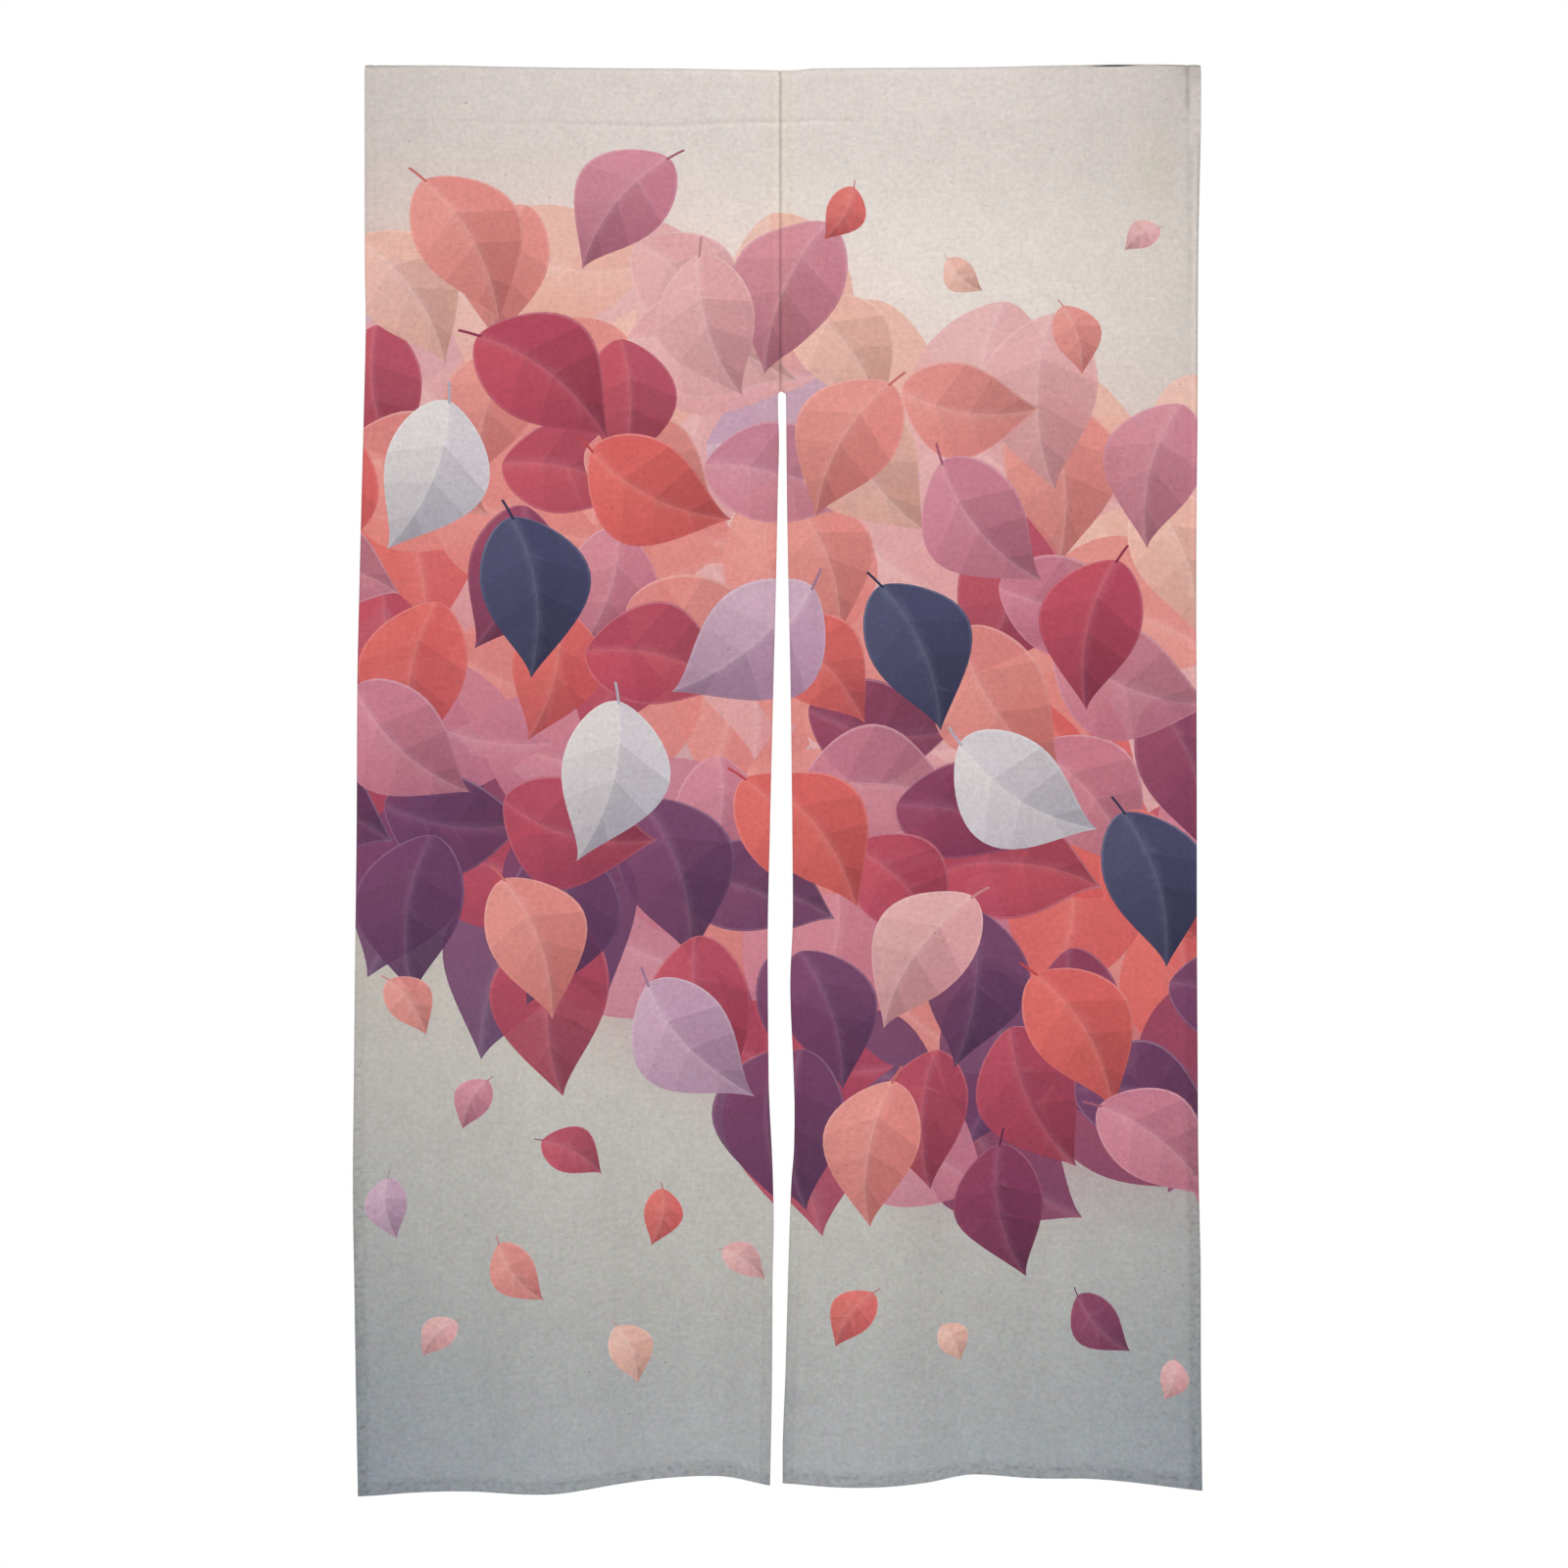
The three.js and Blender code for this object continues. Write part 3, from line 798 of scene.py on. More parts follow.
def side_edge_shade(x, d, side):
    """Painted shade of the side hems and along the side edges, with pale painted highlight streaks and the
    stitches' dark dashes, taken off the cloth's brightness.
    """
    on_right = x > 0
    lower = rise(d, np.where(on_right, 750, 980), np.where(on_right, 350, 240))
    foot = rise(d, 1250, 200)
    full = np.where(on_right, 8.5 + 2.0 * sway(2 * d, 3.7), 1.0 + 3.0 * foot)
    fading = np.where(on_right, 4.0, 7.5 + 2.0 * sway(d, 5.3))
    uneven = 1 + 0.35 * ripple(d, 2.3) + 0.25 * sway(d, 4.1)
    amount = np.where(on_right, 0.052, 0.046) * lower + 0.010 * foot
    # painted shade over the side hem's band
    band = line(np.maximum(side - full, 0), fading) * amount * uneven
    thread = ripple(d, 8.8)
    stitches = (0.008 + 0.02 * lower) * line(side - STITCH_INSET, 1.4) * np.clip(thread, 0, 1)
    top_stitches = 0.14 * fall(d, 36, 18) * line(side - STITCH_INSET, 1.9) * (0.8 + 0.3 * thread)
    top_shade = 0.035 * fall(side, 15, 12) * fall(d, 8, 14)
    top_light = 0.04 * fall(side, 7, 3) * line(d - 48, 36)
    less = band + stitches + on_right * (top_stitches + top_shade - top_light)
    for m in SIDE_SHADE_AND_LIGHT_LINES:
        shown = rise(d, m["start"], m["come"]) * fall(d, m["end"], m["go"])
        less = less + np.where(on_right, m["right"], m["left"]) * shown * line(side - m["middle"], m["half"])
    return less


def fold_top_shade(x, d):
    """Painted shade along the fold at the top, darkest at its ends, a painted paler strip just below it, and
    a dark mark along the fold's top, taken off the cloth's brightness.
    """
    shade = (0.015 + 0.21 * rise(np.abs(x), 372, 40)) * line(d + 4, 3.3)
    light = fall(x, 230, 80) * (0.030 + 0.022 * line(x, 170)) * line(d - 2, 5)
    mark = TOP_MARK["less"] * line(d + 1.6, 2.6) - TOP_MARK["below"] * line(d - 3, 1.6)
    return shade - light + mark * bump((x - TOP_MARK["x"]) / TOP_MARK["half"])


def sewing_shade_factor(flat, in_front=True):
    """How the sewing changes the cloth's colour, as a factor on each channel: painted shade and painted
    highlights along the hems, the edges, the pocket's stitching, the slit, the seam and the fold at the top,
    with the stitches' dark dashes and yellower strips beside the seam.
    """
    x, d = flat[..., 0], flat[..., 1]
    side, inner, bottom = edge_distances(x, d)
    uneven = 1 + 0.3 * ripple(x, 1.9) + 0.3 * sway(x, 6.2)
    # painted shade over the hem's band and along its edge
    hem = 0.043 * fall(bottom, 8.0 + 1.5 * sway(1.6 * x, 6.2), 11) * uneven
    hem_stitches = 0.035 * line(bottom - STITCH_INSET, 1.6) * np.clip(ripple(x, 3.7), 0, 1)
    hem_edge = 0.03 * np.exp(-bottom / 2)
    below = d - pocket_stitch(x)
    # painted shade above the pocket's line of stitching and a painted highlight below it
    pocket = (0.043 + 0.012 * line(x + 118, 40)) * line(below, np.where(below < 0, 4.2, 1.4))
    pocket_light = (0.033 + 0.012 * line(x, 70)) * line(below - 3.8, 1.6)
    shown = pocket_line(x) * (0.85 + 0.3 * sway(x, 2.2))
    in_seam = fall(d, SLIT_TOP - 3, 4)
    # painted shade along the slit's edges, mostly lower down
    slit = 0.042 * fall(inner, 9.5, 4) * rise(d, 1180, 260) + 0.022 * line(inner, 3.5)
    seam_light = np.where(x < 0, 0.028, 0.008) * line(inner - 4.2, 2.0)
    less = side_edge_shade(x, d, side) + fold_top_shade(x, d) * in_front + hem + hem_stitches + hem_edge
    less = less + shown * (pocket - pocket_light) + (1 - in_seam) * slit - in_seam * seam_light
    # painted shade in the seam's crease
    crease = in_seam * line(x, 1.8) * (1 + 0.9 * line(d + 5, 4))
    strip = in_seam * rise(inner, 1.2, 1.5) * fall(inner, 11, 4)
    return 1 - less[..., None] - crease[..., None] * SEAM_CREASE_SHADE - strip[..., None] * SEAM_STRIP


def border_of(triangles):
    """The border edges of a triangulation, each directed as its triangle runs."""
    directed = set()
    for a, b, c in triangles.tolist():
        directed.update(((a, b), (b, c), (c, a)))
    return [(a, b) for a, b in directed if (b, a) not in directed]


REVERSE = np.array([0.845, 0.815, 0.785])  # the cloth's unprinted back
SHOW_THROUGH = 0.34  # how much of the print shows on the back


def reverse_colour(colour, flat):
    """The back of the cloth: a pale ghost of the print, on a ground that darkens a little lower down."""
    ground = REVERSE * (1.0 - 0.12 * rise(flat[..., 1], 850, 600))[..., None]
    return ground + (colour - ground) * SHOW_THROUGH


BAKE_GAP = 6.0  # between the parts of a bake map
WALL_SHADE = 0.97  # how bright the cloth's narrow edges and the thread are, beside the cloth's own colour


class Piece:
    """Collects a piece part by part: its points, its faces, and the colour and maps of each face corner."""

    def __init__(self, bake_size=None, strips_start=0.0):
        self.points, self.faces, self.sharp = [], [], []
        self.colours, self.flats, self.bakes = [], [], []
        self.count = 0
        self.bake_size = bake_size
        self.strips_start = strips_start
        self.strips = {}

    def add_points(self, points):
        """Adds points and returns the number of the first."""
        first = self.count
        self.points.append(points)
        self.count += len(points)
        return first

    def add_faces(self, faces, colours, flats, bakes):
        """Faces of one size, with arrays that hold a row for each corner of each face."""
        self.faces.extend(np.asarray(faces).tolist())
        self.colours.append(linear(colours).reshape(-1, 3))
        self.flats.append(np.asarray(flats).reshape(-1, 2))
        self.bakes.append(np.asarray(bakes).reshape(-1, 2))

    def add_wall(self, strip, corners, flats, runs, steps, sharp):
        """One narrow face of a rim: its corners' places along the rim and across it."""
        if sharp:
            self.sharp.append(len(self.faces))
        column = self.strips.setdefault(strip, len(self.strips))
        start = self.strips_start + column * BAKE_GAP
        self.faces.append(list(corners))
        self.colours.append(linear(ground_colour(np.array(flats)) * WALL_SHADE))
        self.flats.append(np.array(flats))
        self.bakes.append(np.array([(start + step, run) for step, run in zip(steps, runs)]))

    def make(self, name, material):
        """The finished object, with its cloth map in metres and its bake map, if any, from 0 to 1."""
        mesh = bpy.data.meshes.new(name)
        mesh.from_pydata((np.concatenate(self.points) * MM).tolist(), [], self.faces)
        layer = mesh.color_attributes.new("print", "FLOAT_COLOR", "CORNER")
        rgba = np.ones((len(mesh.loops), 4), np.float32)
        rgba[:, :3] = np.concatenate(self.colours)
        layer.data.foreach_set("color", rgba.ravel())
        maps = {"cloth": np.concatenate(self.flats) * MM}
        if self.bakes:
            maps["OFBake"] = np.concatenate(self.bakes) / self.bake_size
        for label, places in maps.items():
            uv = mesh.uv_layers.new(name=label)
            uv.uv.foreach_set("vector", places.astype(np.float32).ravel())
        rounded = np.ones(len(self.faces), bool)
        rounded[self.sharp] = False
        mesh.polygons.foreach_set("use_smooth", rounded)
        for k in self.sharp:
            for corner in mesh.polygons[k].loop_indices:
                mesh.edges[mesh.loops[corner].edge_index].use_edge_sharp = True
        mesh.materials.append(material)
        mesh.validate(clean_customdata=False)
        mesh.update()
        made = bpy.data.objects.new(name, mesh)
        bpy.context.scene.collection.objects.link(made)
        return made


PANEL_BAKE = 1480.0  # the side of a panel's square bake map
PANEL_STRIPS = 890.0  # where its rims' strips start, beside both faces


def build_panel(panel, material):
    """One printed half below the pocket, with its turned borders at the back."""
    cloth = FlatCloth(panel)
    flat, triangles, in_field = cloth.points, cloth.triangles, cloth.in_field
    corners = flat[triangles]
    side = FLAT_HALF - np.abs(corners[..., 0])
    front = np.stack(hanging(panel, flat[:, 0], flat[:, 1]), -1)
    # the print, with the sewing's painted shade and highlights
    printed = cloth.colours * sewing_shade_factor(corners)
    sheet = Piece(PANEL_BAKE, PANEL_STRIPS)
    sheet.add_points(front)
    sheet.add_faces(triangles, printed, corners, np.stack([side, corners[..., 1]], -1))
    back_map = np.stack([2 * FLAT_HALF + BAKE_GAP - side, corners[..., 1]], -1)

    def back_layer(chosen, depth, colour):
        """Adds a copy of some faces behind the front, and returns its point numbers."""
        used = np.unique(triangles[chosen])
        numbers = np.full(len(flat), -1)
        first = sheet.add_points(front[used] + (0, depth, 0))
        numbers[used] = np.arange(first, first + len(used))
        parts = (numbers[triangles], colour, corners, back_map)
        sheet.add_faces(*(values[chosen][:, ::-1] for values in parts))
        return numbers

    field = back_layer(in_field, LAYER, reverse_colour(cloth.colours, corners))
    hem = back_layer(~in_field, HEM_THICKNESS, printed)

    def wall(edges, layers, sharp):
        """Joins two or more layers, from front to back, along directed border edges."""
        for a, b in edges:
            upright = abs(flat[a][0] - flat[b][0]) < abs(flat[a][1] - flat[b][1])
            strip = (upright, round(float(flat[a][0 if upright else 1])))
            run = 1 if upright else 0
            ring = [(b, n) for n in range(len(layers)) if layers[n][b] >= 0]
            ring = ring[:1] + [(a, n) for n in range(len(layers)) if layers[n][a] >= 0] + ring[:0:-1]
            sheet.add_wall(
                strip,
                [layers[n][v] for v, n in ring],
                [flat[v] for v, n in ring],
                [abs(flat[v][run]) for v, n in ring],
                [n * LAYER for v, n in ring],
                sharp,
            )

    outer = border_of(triangles)
    top = {e for e in outer if max(flat[e[0]][1], flat[e[1]][1]) < JOIN + 0.01}
    top_field = {e for e in top if HEM < abs(flat[e[0]][0] + flat[e[1]][0]) / 2 < FLAT_HALF - HEM}
    numbers = np.arange(len(flat))
    wall(top_field, (numbers, field), sharp=True)
    wall(top - top_field, (numbers, field, hem), sharp=True)
    wall([e for e in outer if e not in top], (numbers, field, hem), sharp=False)
    steps = [e for e in border_of(triangles[in_field]) if e not in top_field]
    wall([(b, a) for a, b in steps], (field, hem), sharp=True)
    return sheet.make(f"panel_{panel['name']}_cloth", material)


# The heading: the cloth's way up the front, over the rod and down the back. A place on it is given by its
# reach, the distance from the fold's top, positive in front and negative behind.
FOLD_RADIUS = POCKET_RADIUS + CAD_CLOTH
FOLD_ARC = FOLD_RADIUS * math.pi / 2
FOLD_SHIFT = FOLD_ARC - POCKET_RADIUS  # what to take off a reach to get the distance from the top line
TURNED_END = 61.2  # where the cloth's turned end lies behind, below the top line
TURNED_START = 51.0  # where the end that is folded under stops, inside the pocket
REST_GAP = 0.08  # between layers that lie on each other
STITCHED_FROM = 49.0  # rows lie close together from here to the heading's end
HEADING_ROWS = [*stations(JOIN, STITCHED_FROM, 1.1), *stations(STITCHED_FROM, POCKET_RADIUS, 3.2)[1:]]
FOLD_STEPS = 34  # round the fold


def layers_at(flat_x):
    """How thick the cloth is across a heading: its side borders are turned."""
    side, inner = FLAT_HALF - np.abs(flat_x), np.abs(flat_x)
    return np.where(np.minimum(side, inner) < HEM + 0.01, HEM_THICKNESS, LAYER)


def heading_surface(panel, flat_x, reach, inside=False):
    """A place on a heading's outer face, or on its inner one."""
    flat_x, reach = np.broadcast_arrays(flat_x, reach)
    layer = layers_at(flat_x)
    folded_under = rise(-reach - FOLD_SHIFT, TURNED_START, 1.5)
    own = layer + (layer < HEM_THICKNESS) * folded_under * LAYER
    foot = FRONT_PLANE + layer + np.maximum(2 * LAYER, layer) + REST_GAP
    down = np.abs(reach) - FOLD_SHIFT
    angle = np.clip(np.abs(reach) / FOLD_RADIUS, 0, math.pi / 2)
    hand = np.where(reach > 0, -1.0, 1.0)
    along = np.clip((down - POCKET_RADIUS) / (POCKET_STITCH - POCKET_RADIUS), 0, 1)
    on_back = (reach < 0) & (angle >= math.pi / 2)
    lean = (foot - FOLD_RADIUS) / (POCKET_STITCH - POCKET_RADIUS) * (along < 1)
    slack = POCKET_SLACK * np.sin(np.pi * along)
    y = hand * FOLD_RADIUS * np.sin(angle)
    y = np.where(on_back, FOLD_RADIUS + (foot - FOLD_RADIUS) * along + slack, y)
    depth = np.where(angle < math.pi / 2, POCKET_RADIUS - FOLD_RADIUS * np.cos(angle), down)
    normal_y = hand * np.sin(angle)
    normal_depth = np.where(on_back, -lean, -np.cos(angle))
    size = np.hypot(normal_y, normal_depth)
    offset = np.clip(reach / 6, -1, 1) * puckers(panel, flat_x, down)
    offset = offset + (-own if inside else dents(flat_x, down))
    across = across_of(flat_x)
    outer, inner = (read(panel["edges"], column, JOIN) for column in ("outer", "inner"))
    level_x = outer + (inner - outer) * across
    x = level_x + panel["side"] * (SEAM_GAP - widened(panel, flat_x, down))
    y = y + normal_y / size * offset
    depth = depth + normal_depth / size * offset
    return np.stack([x, y, TOP_SAG - depth - read(TOP_LINE, "drop", level_x)], -1)


HEADING_BAKE = 470.0  # a heading's bake map and its strips, as for a panel
HEADING_STRIPS = 436.0


def build_heading(panel, material):
    """The upper end of one half, turned over to the back and stitched down."""
    flat_x = np.sort(panel["side"] * (FLAT_HALF - cross_stations()))
    front = np.array(HEADING_ROWS) + FOLD_SHIFT
    fold = np.linspace(FOLD_ARC, -FOLD_ARC, FOLD_STEPS + 1)[1:-1]
    back = -np.array([d for d in HEADING_ROWS[::-1] if d < TURNED_END - 0.5] + [TURNED_END]) - FOLD_SHIFT
    reach = np.concatenate([front, fold, back])
    nx, nr = len(flat_x), len(reach)
    grid_x, grid_r = np.meshgrid(flat_x, reach, indexing="ij")
    outside = heading_surface(panel, grid_x, grid_r)
    inside = heading_surface(panel, grid_x, grid_r, inside=True)
    flats = np.stack([grid_x, grid_r - FOLD_SHIFT], -1)
    shade_place = np.stack([grid_x, np.abs(grid_r) - FOLD_SHIFT], -1)
    ground = ground_colour(flats)
    # the ground, with the sewing's painted shade and highlights
    printed = ground * sewing_shade_factor(shade_place, grid_r > 0)
    hidden = reverse_colour(ground, flats)
    side = FLAT_HALF - np.abs(grid_x)
    path = front[0] - grid_r
    sheet = Piece(HEADING_BAKE, HEADING_STRIPS)
    sheet.add_points(outside.reshape(-1, 3))
    sheet.add_points(inside.reshape(-1, 3))
    number = np.arange(nx * nr).reshape(nx, nr)

    def quads(values, turned):
        """The values at the four corners of each cell of the grid."""
        block = np.stack([values[:-1, :-1], values[1:, :-1], values[1:, 1:], values[:-1, 1:]], 2)
        block = block.reshape(-1, 4, *values.shape[2:])
        return block[:, ::-1] if turned else block

    outer_map = np.stack([side, path], -1)
    inner_map = np.stack([side, path + path.max() + BAKE_GAP], -1)
    hidden_number = number + nx * nr
    sheet.add_faces(*(quads(values, False) for values in (number, printed, flats, outer_map)))
    sheet.add_faces(*(quads(values, True) for values in (hidden_number, hidden, flats, inner_map)))
    rims = (
        [("left", (0, r + 1), (0, r)) for r in range(nr - 1)]
        + [("right", (nx - 1, r), (nx - 1, r + 1)) for r in range(nr - 1)]
        + [("front", (k, 0), (k + 1, 0)) for k in range(nx - 1)]
        + [("back", (k + 1, nr - 1), (k, nr - 1)) for k in range(nx - 1)]
    )
    for strip, a, b in rims:
        ring = [number[b], number[a], hidden_number[a], hidden_number[b]]
        run = path if strip in ("left", "right") else side
        sheet.add_wall(
            strip, ring, [flats[b], flats[a], flats[a], flats[b]],
            [run[b], run[a], run[a], run[b]], (0, 0, LAYER, LAYER), strip in ("front", "back"),
        )
    return sheet.make(f"heading_{panel['name']}_cloth", material)


# Sewing thread
STITCH_PITCH = 3.0  # from one stitch to the next
STITCH_LENGTH = 2.5
THREAD = 0.18  # radius
THREAD_SIDES = 5
THREAD_TURNS = np.arange(THREAD_SIDES) * 2 * np.pi / THREAD_SIDES
# Along a stitch: the share of its length, how far it stands out of the cloth, and how thick it is
STITCH_FORM = table(
    "share height radius",
    (0.0, -0.22, 0.10), (0.2, 0.05, THREAD), (0.8, 0.05, THREAD), (1.0, -0.22, 0.10),
)


def stitch_form(column):
    """One column of the form of a stitch."""
    return np.array([row[column] for row in STITCH_FORM])


def unit(vectors):
    """Vectors of length 1 in the same directions."""
    return vectors / np.linalg.norm(vectors, axis=-1, keepdims=True)


class Thread(Piece):
    """Short strands of thread in one piece."""

    def add(self, centres, normals, flats):
        """Strands given by their centres and outward normals, with one place for each row of the form."""
        strands, rows = centres.shape[:2]
        radius = stitch_form("radius")
        tangent = unit(np.gradient(centres, axis=1))
        across = unit(np.cross(tangent, normals))
        up = np.cross(across, tangent)
        cosine, sine = np.cos(THREAD_TURNS)[:, None], np.sin(THREAD_TURNS)[:, None]
        around = cosine * across[:, :, None, :] + sine * up[:, :, None, :]
        points = centres[:, :, None, :] + around * radius[None, :, None, None]
        first = self.add_points(points.reshape(-1, 3))
        base = first + np.arange(strands)[:, None] * rows * THREAD_SIDES
        k = np.arange(THREAD_SIDES)
        after = (k + 1) % THREAD_SIDES
        for low in range(0, (rows - 1) * THREAD_SIDES, THREAD_SIDES):
            high = low + THREAD_SIDES
            quads = np.stack([low + k, low + after, high + after, high + k], -1)
            self.faces.extend((base[:, :, None] + quads[None]).reshape(-1, 4).tolist())
        caps = (base + k[::-1]).tolist() + (base + (rows - 1) * THREAD_SIDES + k).tolist()
        self.faces.extend(caps)
        self.flats.append(np.repeat(flats, rows * THREAD_SIDES, axis=0))

    def row(self, surface, start, end):
        """A row of stitches along a line, whose surface gives places, outward normals and flat places."""
        count = int(abs(end - start) / STITCH_PITCH)
        begin = start + (np.arange(count) + 0.1) * (end - start) / count
        share = stitch_form("share") * STITCH_LENGTH * np.sign(end - start)
        along = begin[:, None] + share
        places, normals, flats = surface(along)
        raised = places + normals * stitch_form("height")[None, :, None]
        self.add(raised, normals, flats[:, 0])

    def make(self, name, material):
        """The finished object, in the colours of the print under each stitch."""
        places = np.concatenate(self.flats)
        corners = np.array([v for f in self.faces for v in f])
        self.colours = [linear(printed_colour(places) * WALL_SHADE)[corners]]
        self.flats = [places[corners]]
        return super().make(name, material)


def cloth_surface(panel, flat_x, reach, behind=False):
    """A place on the finished cloth, in front or behind, from its heading to its hem."""
    flat_x, reach = np.broadcast_arrays(np.asarray(flat_x, float), np.asarray(reach, float))
    down = reach - FOLD_SHIFT
    below = np.stack(hanging(panel, flat_x, np.maximum(down, JOIN)), -1)
    if behind:
        below[..., 1] += HEM_THICKNESS
        return below
    above = heading_surface(panel, flat_x, np.minimum(reach, JOIN + FOLD_SHIFT))
    return np.where((down < JOIN)[..., None], above, below)


def line_surface(panel, flat_x=None, reach=None, behind=False):
    """The surface along one line of the cloth, at one place across or at a reach, which may vary across."""
    small = 0.4  # how far to each side the slope is taken
    outward = -1.0 if behind else 1.0

    def surface(along):
        """Places, outward normals and flat places, at distances along the line."""
        x = along if flat_x is None else np.full_like(along, flat_x)
        r = along if reach is None else reach(along) if callable(reach) else np.full_like(along, reach)
        place = cloth_surface(panel, x, r, behind)
        by_x = cloth_surface(panel, x + small, r, behind) - cloth_surface(panel, x - small, r, behind)
        by_r = cloth_surface(panel, x, r + small, behind) - cloth_surface(panel, x, r - small, behind)
        normal = unit(np.cross(by_r, by_x) * outward)
        return place, normal, np.stack([x, np.abs(r) - FOLD_SHIFT], -1)

    return surface


def build_stitches(panel, material, kind, rows):
    """One piece of thread: each row by its line's place across or its reach, its face, start and end."""
    thread = Thread()
    for place, start, end in rows:
        thread.row(line_surface(panel, **place), start, end)
    return thread.make(f"{kind}_{panel['name']}_stitches", material)


def build_panel_stitches(panel, material):
    """The lines of stitching along both long edges and the hem of a half, seen in front and behind."""
    outer, inner = panel["side"] * (FLAT_HALF - STITCH_INSET), panel["side"] * STITCH_INSET
    top, bottom = JOIN + FOLD_SHIFT + 1, FLAT_LENGTH - STITCH_INSET + FOLD_SHIFT
    rows = []
    for behind in (False, True):
        for x in (outer, inner):
            rows.append(({"flat_x": x, "behind": behind}, top, bottom))
        rows.append(({"reach": bottom, "behind": behind}, outer, inner))
    return build_stitches(panel, material, "panel", rows)


def build_heading_stitches(panel, material):
    """The pocket's line of stitching and the ends of the side borders, in front and behind."""
    hand = panel["side"]
    rows = []
    for x in (hand * (FLAT_HALF - STITCH_INSET), hand * STITCH_INSET):
        rows.append(({"flat_x": x}, JOIN + FOLD_SHIFT - 1, 2))
        rows.append(({"flat_x": x}, -2, -POCKET_STITCH - FOLD_SHIFT))
    in_front = {"reach": lambda across: pocket_stitch(across) + FOLD_SHIFT}
    behind = {"reach": lambda across: -pocket_stitch(across) - FOLD_SHIFT}
    for place in (in_front, behind):
        rows.append((place, hand * (FLAT_HALF - 2), hand * 2))
    return build_stitches(panel, material, "heading", rows)


# Materials, floor, light and camera
class Net:
    """Adds nodes to a material or world and links them."""

    def __init__(self, owner):
        owner.use_nodes = True
        self.tree = owner.node_tree
        self.tree.nodes.clear()

    def add(self, kind, inputs=(), **settings):
        """A node with its inputs set, or linked where a value comes out of another node."""
        made = self.tree.nodes.new(kind)
        for key, value in settings.items():
            setattr(made, key, value)
        for key, value in dict(inputs).items():
            if isinstance(value, bpy.types.NodeSocket):
                self.tree.links.new(value, made.inputs[key])
            else:
                made.inputs[key].default_value = value
        return made

    def math(self, operation, *values):
        """The result of a sum on single values."""
        return self.add("ShaderNodeMath", enumerate(values), operation=operation).outputs[0]

    def vector(self, operation, inputs):
        """The result of a sum on vectors or colours."""
        return self.add("ShaderNodeVectorMath", inputs, operation=operation).outputs[0]

    def ramp(self, value, start, end, low=0.0, high=1.0):
        """From low to high as a value goes from start to end."""
        inputs = {"Value": value, "From Min": start, "From Max": end, "To Min": low, "To Max": high}
        return self.add("ShaderNodeMapRange", inputs).outputs[0]


THREAD_PITCH = 0.62  # between neighbouring threads of the weave
CAST = (0.010, 0.007, 0.010)  # how much each colour wavers over the cloth
# How strong the pattern of the threads is, above and below a stretch of the way down
LOWER = {"from": 900, "to": 1350, "above": 1.18, "below": 1.42}
WORN_FROM = (850, 1150)  # where on the way down the side borders come to look worn


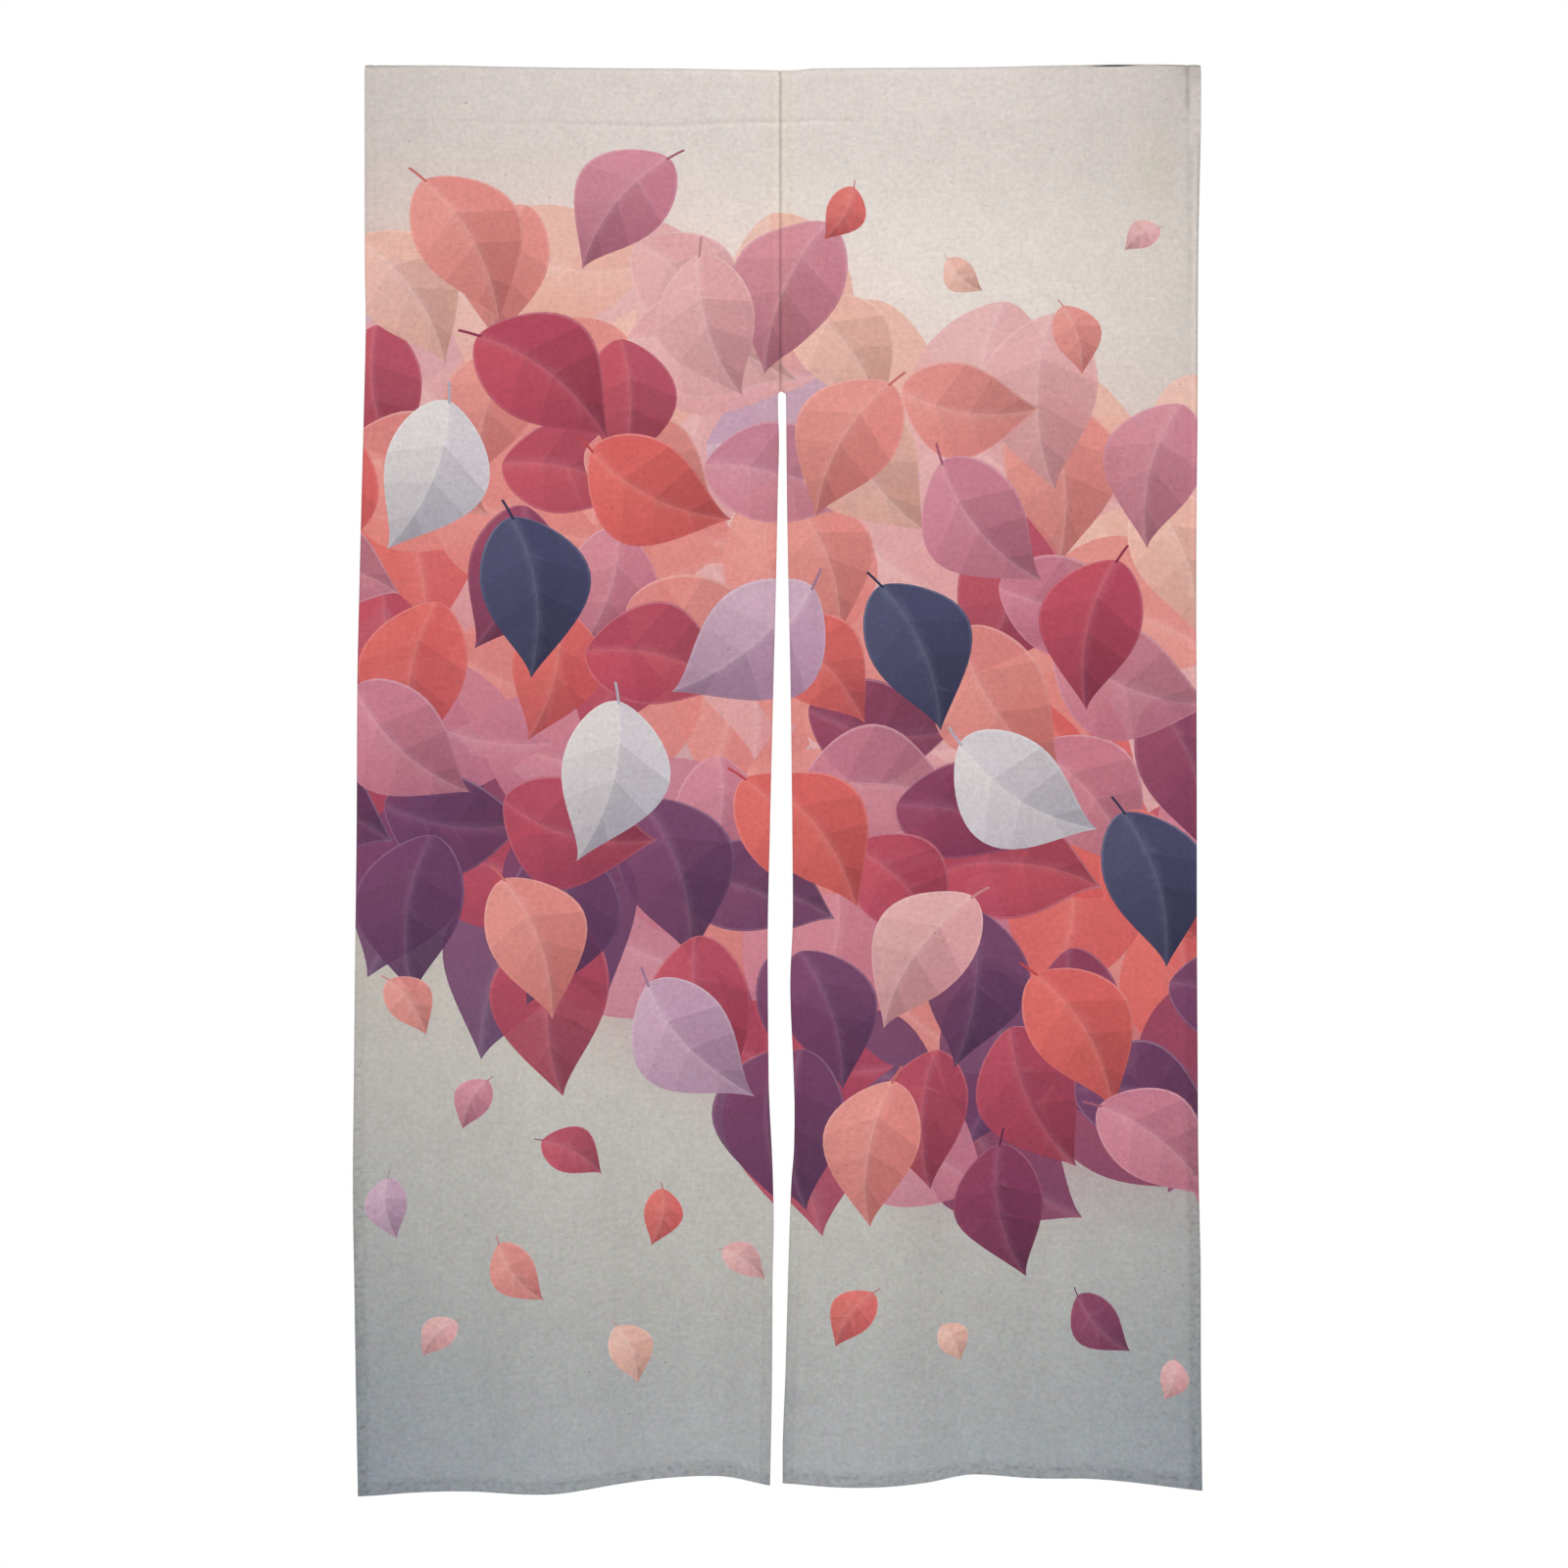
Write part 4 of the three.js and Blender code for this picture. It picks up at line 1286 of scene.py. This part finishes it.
def cloth_material(name, weave_depth=0.09):
    """Linen-look cloth: its printed colour, a plain weave, uneven threads and a soft mottle."""
    material = bpy.data.materials.new(name)
    net = Net(material)
    colour = net.add("ShaderNodeAttribute", attribute_name="print").outputs["Color"]
    place = net.add("ShaderNodeUVMap", uv_map="cloth").outputs["UV"]

    def texture(scale_x, scale_y, detail, offset):
        """A noise texture on the cloth's map: scales in features for each millimetre."""
        mapped = net.add(
            "ShaderNodeMapping",
            {"Vector": place, "Scale": (scale_x / MM, scale_y / MM, 1), "Location": (offset, offset, offset)},
        ).outputs[0]
        return net.add("ShaderNodeTexNoise", {"Vector": mapped, "Scale": 1, "Detail": detail})

    def noise(scale_x, scale_y, detail, offset):
        """The strength of such a texture, about -0.5 to 0.5."""
        return net.math("SUBTRACT", texture(scale_x, scale_y, detail, offset).outputs["Fac"], 0.5)

    def above(value, limit):
        """What is left of a value above a limit, or 0."""
        return net.math("MAXIMUM", net.math("SUBTRACT", value, limit), 0)

    weft = noise(0.10, 0.75, 1, 3.0)
    warp = noise(0.75, 0.09, 1, 7.0)
    slub = above(noise(0.03, 0.55, 0, 11.0), 0.17)
    mottle = noise(0.20, 0.20, 2, 19.0)
    fleck = above(noise(0.22, 0.4, 0, 43.0), 0.3)
    cloud = noise(0.02, 0.016, 1, 53.0)
    patch = noise(0.055, 0.05, 1, 67.0)
    cast = texture(0.10, 0.10, 1, 31.0).outputs["Color"]
    split = net.add("ShaderNodeSeparateXYZ", {"Vector": place})
    x, d = split.outputs[:2]

    side_border = net.ramp(net.math("ABSOLUTE", x), (FLAT_HALF - 17) * MM, (FLAT_HALF - 9) * MM)
    side_border = net.math("MULTIPLY", side_border, net.ramp(d, *(w * MM for w in WORN_FROM)))
    hem = net.ramp(d, (FLAT_LENGTH - 19) * MM, (FLAT_LENGTH - 10) * MM)
    blots = above(noise(0.15, 0.2, 2, 61.0), -0.02)
    worn = net.math("MULTIPLY", net.math("MAXIMUM", side_border, hem), blots)
    lower = net.ramp(d, LOWER["from"] * MM, LOWER["to"] * MM, LOWER["above"], LOWER["below"])
    turn = 2 * math.pi / (THREAD_PITCH * MM)
    threads = [net.math("SINE", net.math("MULTIPLY", way, turn)) for way in (x, d)]
    weave = net.math("MULTIPLY", *threads)

    tone = 0.0
    tones = (
        (weft, 0.09), (warp, 0.09), (slub, 0.35), (mottle, 0.28), (patch, 0.09),
        (cloud, 0.06), (fleck, -3.0), (weave, 0.025), (worn, -0.7),
    )
    for part, amount in tones:
        tone = net.math("MULTIPLY_ADD", part, amount, tone)
    tone = net.math("MULTIPLY_ADD", tone, lower, 1.0)
    toned = net.vector("SCALE", {0: colour, "Scale": tone})
    swing = net.vector("MULTIPLY_ADD", {0: cast, 1: CAST, 2: [-0.5 * c for c in CAST]})
    swing = net.vector("SCALE", {0: swing, "Scale": net.math("POWER", lower, 8.0)})
    swing = net.vector("ADD", {0: swing, 1: (1, 1, 1)})
    toned = net.vector("MULTIPLY", {0: toned, 1: swing})

    height = net.math("MULTIPLY", weave, 0.5)
    for part, amount in ((weft, 1.2), (warp, 1.0), (slub, 3.0)):
        height = net.math("MULTIPLY_ADD", part, amount, height)
    relief = net.add("ShaderNodeBump", {"Height": height, "Distance": weave_depth * MM, "Strength": 1.0})
    shader = net.add(
        "ShaderNodeBsdfPrincipled",
        {
            "Base Color": toned,
            "Roughness": net.math("MULTIPLY_ADD", weft, 0.16, 0.88),
            "Specular IOR Level": 0.18,
            "Sheen Weight": 0.06,
            "Sheen Roughness": 0.6,
            "Normal": relief.outputs[0],
        },
    )
    net.add("ShaderNodeOutputMaterial", {"Surface": shader.outputs[0]})
    return material


# The surroundings, in metres and watts
FLOOR_LEVEL = -1.62
FLOOR_REACH = 60.0  # from the middle to each side
AMBIENT = 0.72  # strength of the light from all round
LIGHTS = table(
    "name place size power",
    ("key", (-0.25, -4.4, 0.1), 3.2, 67.0),
    ("fill", (2.2, 3.6, 0.4), 2.6, 60.0),
)
LIT_PLACE = (0, 0, -0.75)  # what the lights point at


def white_ground():
    """A plain white floor, in light that is even from all round."""
    material = bpy.data.materials.new("floor_white")
    net = Net(material)
    glow = net.add("ShaderNodeEmission", {"Color": (1, 1, 1, 1), "Strength": 1.0})
    net.add("ShaderNodeOutputMaterial", {"Surface": glow.outputs[0]})
    mesh = bpy.data.meshes.new("floor")
    corners = [(-1, -1), (1, -1), (1, 1), (-1, 1)]
    places = [(x * FLOOR_REACH, y * FLOOR_REACH, FLOOR_LEVEL) for x, y in corners]
    mesh.from_pydata(places, [], [(0, 1, 2, 3)])
    mesh.materials.append(material)
    floor = bpy.data.objects.new("floor", mesh)
    floor.visible_diffuse = False
    floor.visible_glossy = False
    bpy.context.scene.collection.objects.link(floor)

    world = bpy.data.worlds.new("studio")
    bpy.context.scene.world = world
    net = Net(world)
    seen = net.add("ShaderNodeLightPath").outputs["Is Camera Ray"]
    strength = net.math("MULTIPLY_ADD", seen, 1 - AMBIENT, AMBIENT)
    sky = net.add("ShaderNodeBackground", {"Color": (1, 1, 1, 1), "Strength": strength})
    net.add("ShaderNodeOutputWorld", {"Surface": sky.outputs[0]})


def soft_light(name, place, size, power):
    """A round soft light at a place, pointing at the curtain."""
    light = bpy.data.lights.new(name, "AREA")
    light.shape = "DISK"
    light.size = size
    light.energy = power
    lamp = bpy.data.objects.new(name, light)
    lamp.location = place
    aim = [t - p for t, p in zip(LIT_PLACE, place)]
    lamp.rotation_mode = "QUATERNION"
    lamp.rotation_quaternion = Vector(aim).to_track_quat("-Z", "Y")
    bpy.context.scene.collection.objects.link(lamp)


# The camera stands square in front, at the height of the curtain's middle.
CAMERA_DISTANCE = 4.0
FRAME_WIDTH = 1.60936  # what the frame takes in, at the plane of the cloth
CAMERA_X, CAMERA_Z = 0.0019, -0.7326


def add_camera():
    """The camera, square to the cloth."""
    camera = bpy.data.cameras.new("camera")
    camera.sensor_fit = "HORIZONTAL"
    camera.sensor_width = 36.0
    camera.lens = camera.sensor_width * CAMERA_DISTANCE / FRAME_WIDTH
    made = bpy.data.objects.new("camera", camera)
    made.location = (CAMERA_X, FRONT_PLANE * MM - CAMERA_DISTANCE, CAMERA_Z)
    made.rotation_euler = (math.pi / 2, 0, 0)
    bpy.context.scene.collection.objects.link(made)
    bpy.context.scene.camera = made


def main():
    """Sets the scene and builds both halves, each of two pieces of cloth and their thread."""
    bpy.context.scene.view_settings.view_transform = "Standard"
    add_camera()
    white_ground()
    for light in LIGHTS:
        soft_light(**light)
    cloth = cloth_material("printed_linen")
    plain = cloth_material("plain_linen")
    thread = cloth_material("sewing_thread", 0.03)
    for panel in PANELS:
        name = panel["name"]
        made = {
            "panel": (build_panel(panel, cloth), build_panel_stitches(panel, thread)),
            "heading": (build_heading(panel, plain), build_heading_stitches(panel, thread)),
        }
        for kind, (piece, stitches) in made.items():
            for one in (piece, stitches):
                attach(one, "root")
            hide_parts(f"{kind}_{name}")
        panel_cloth, panel_thread = made["panel"]
        heading, heading_thread = made["heading"]


main()
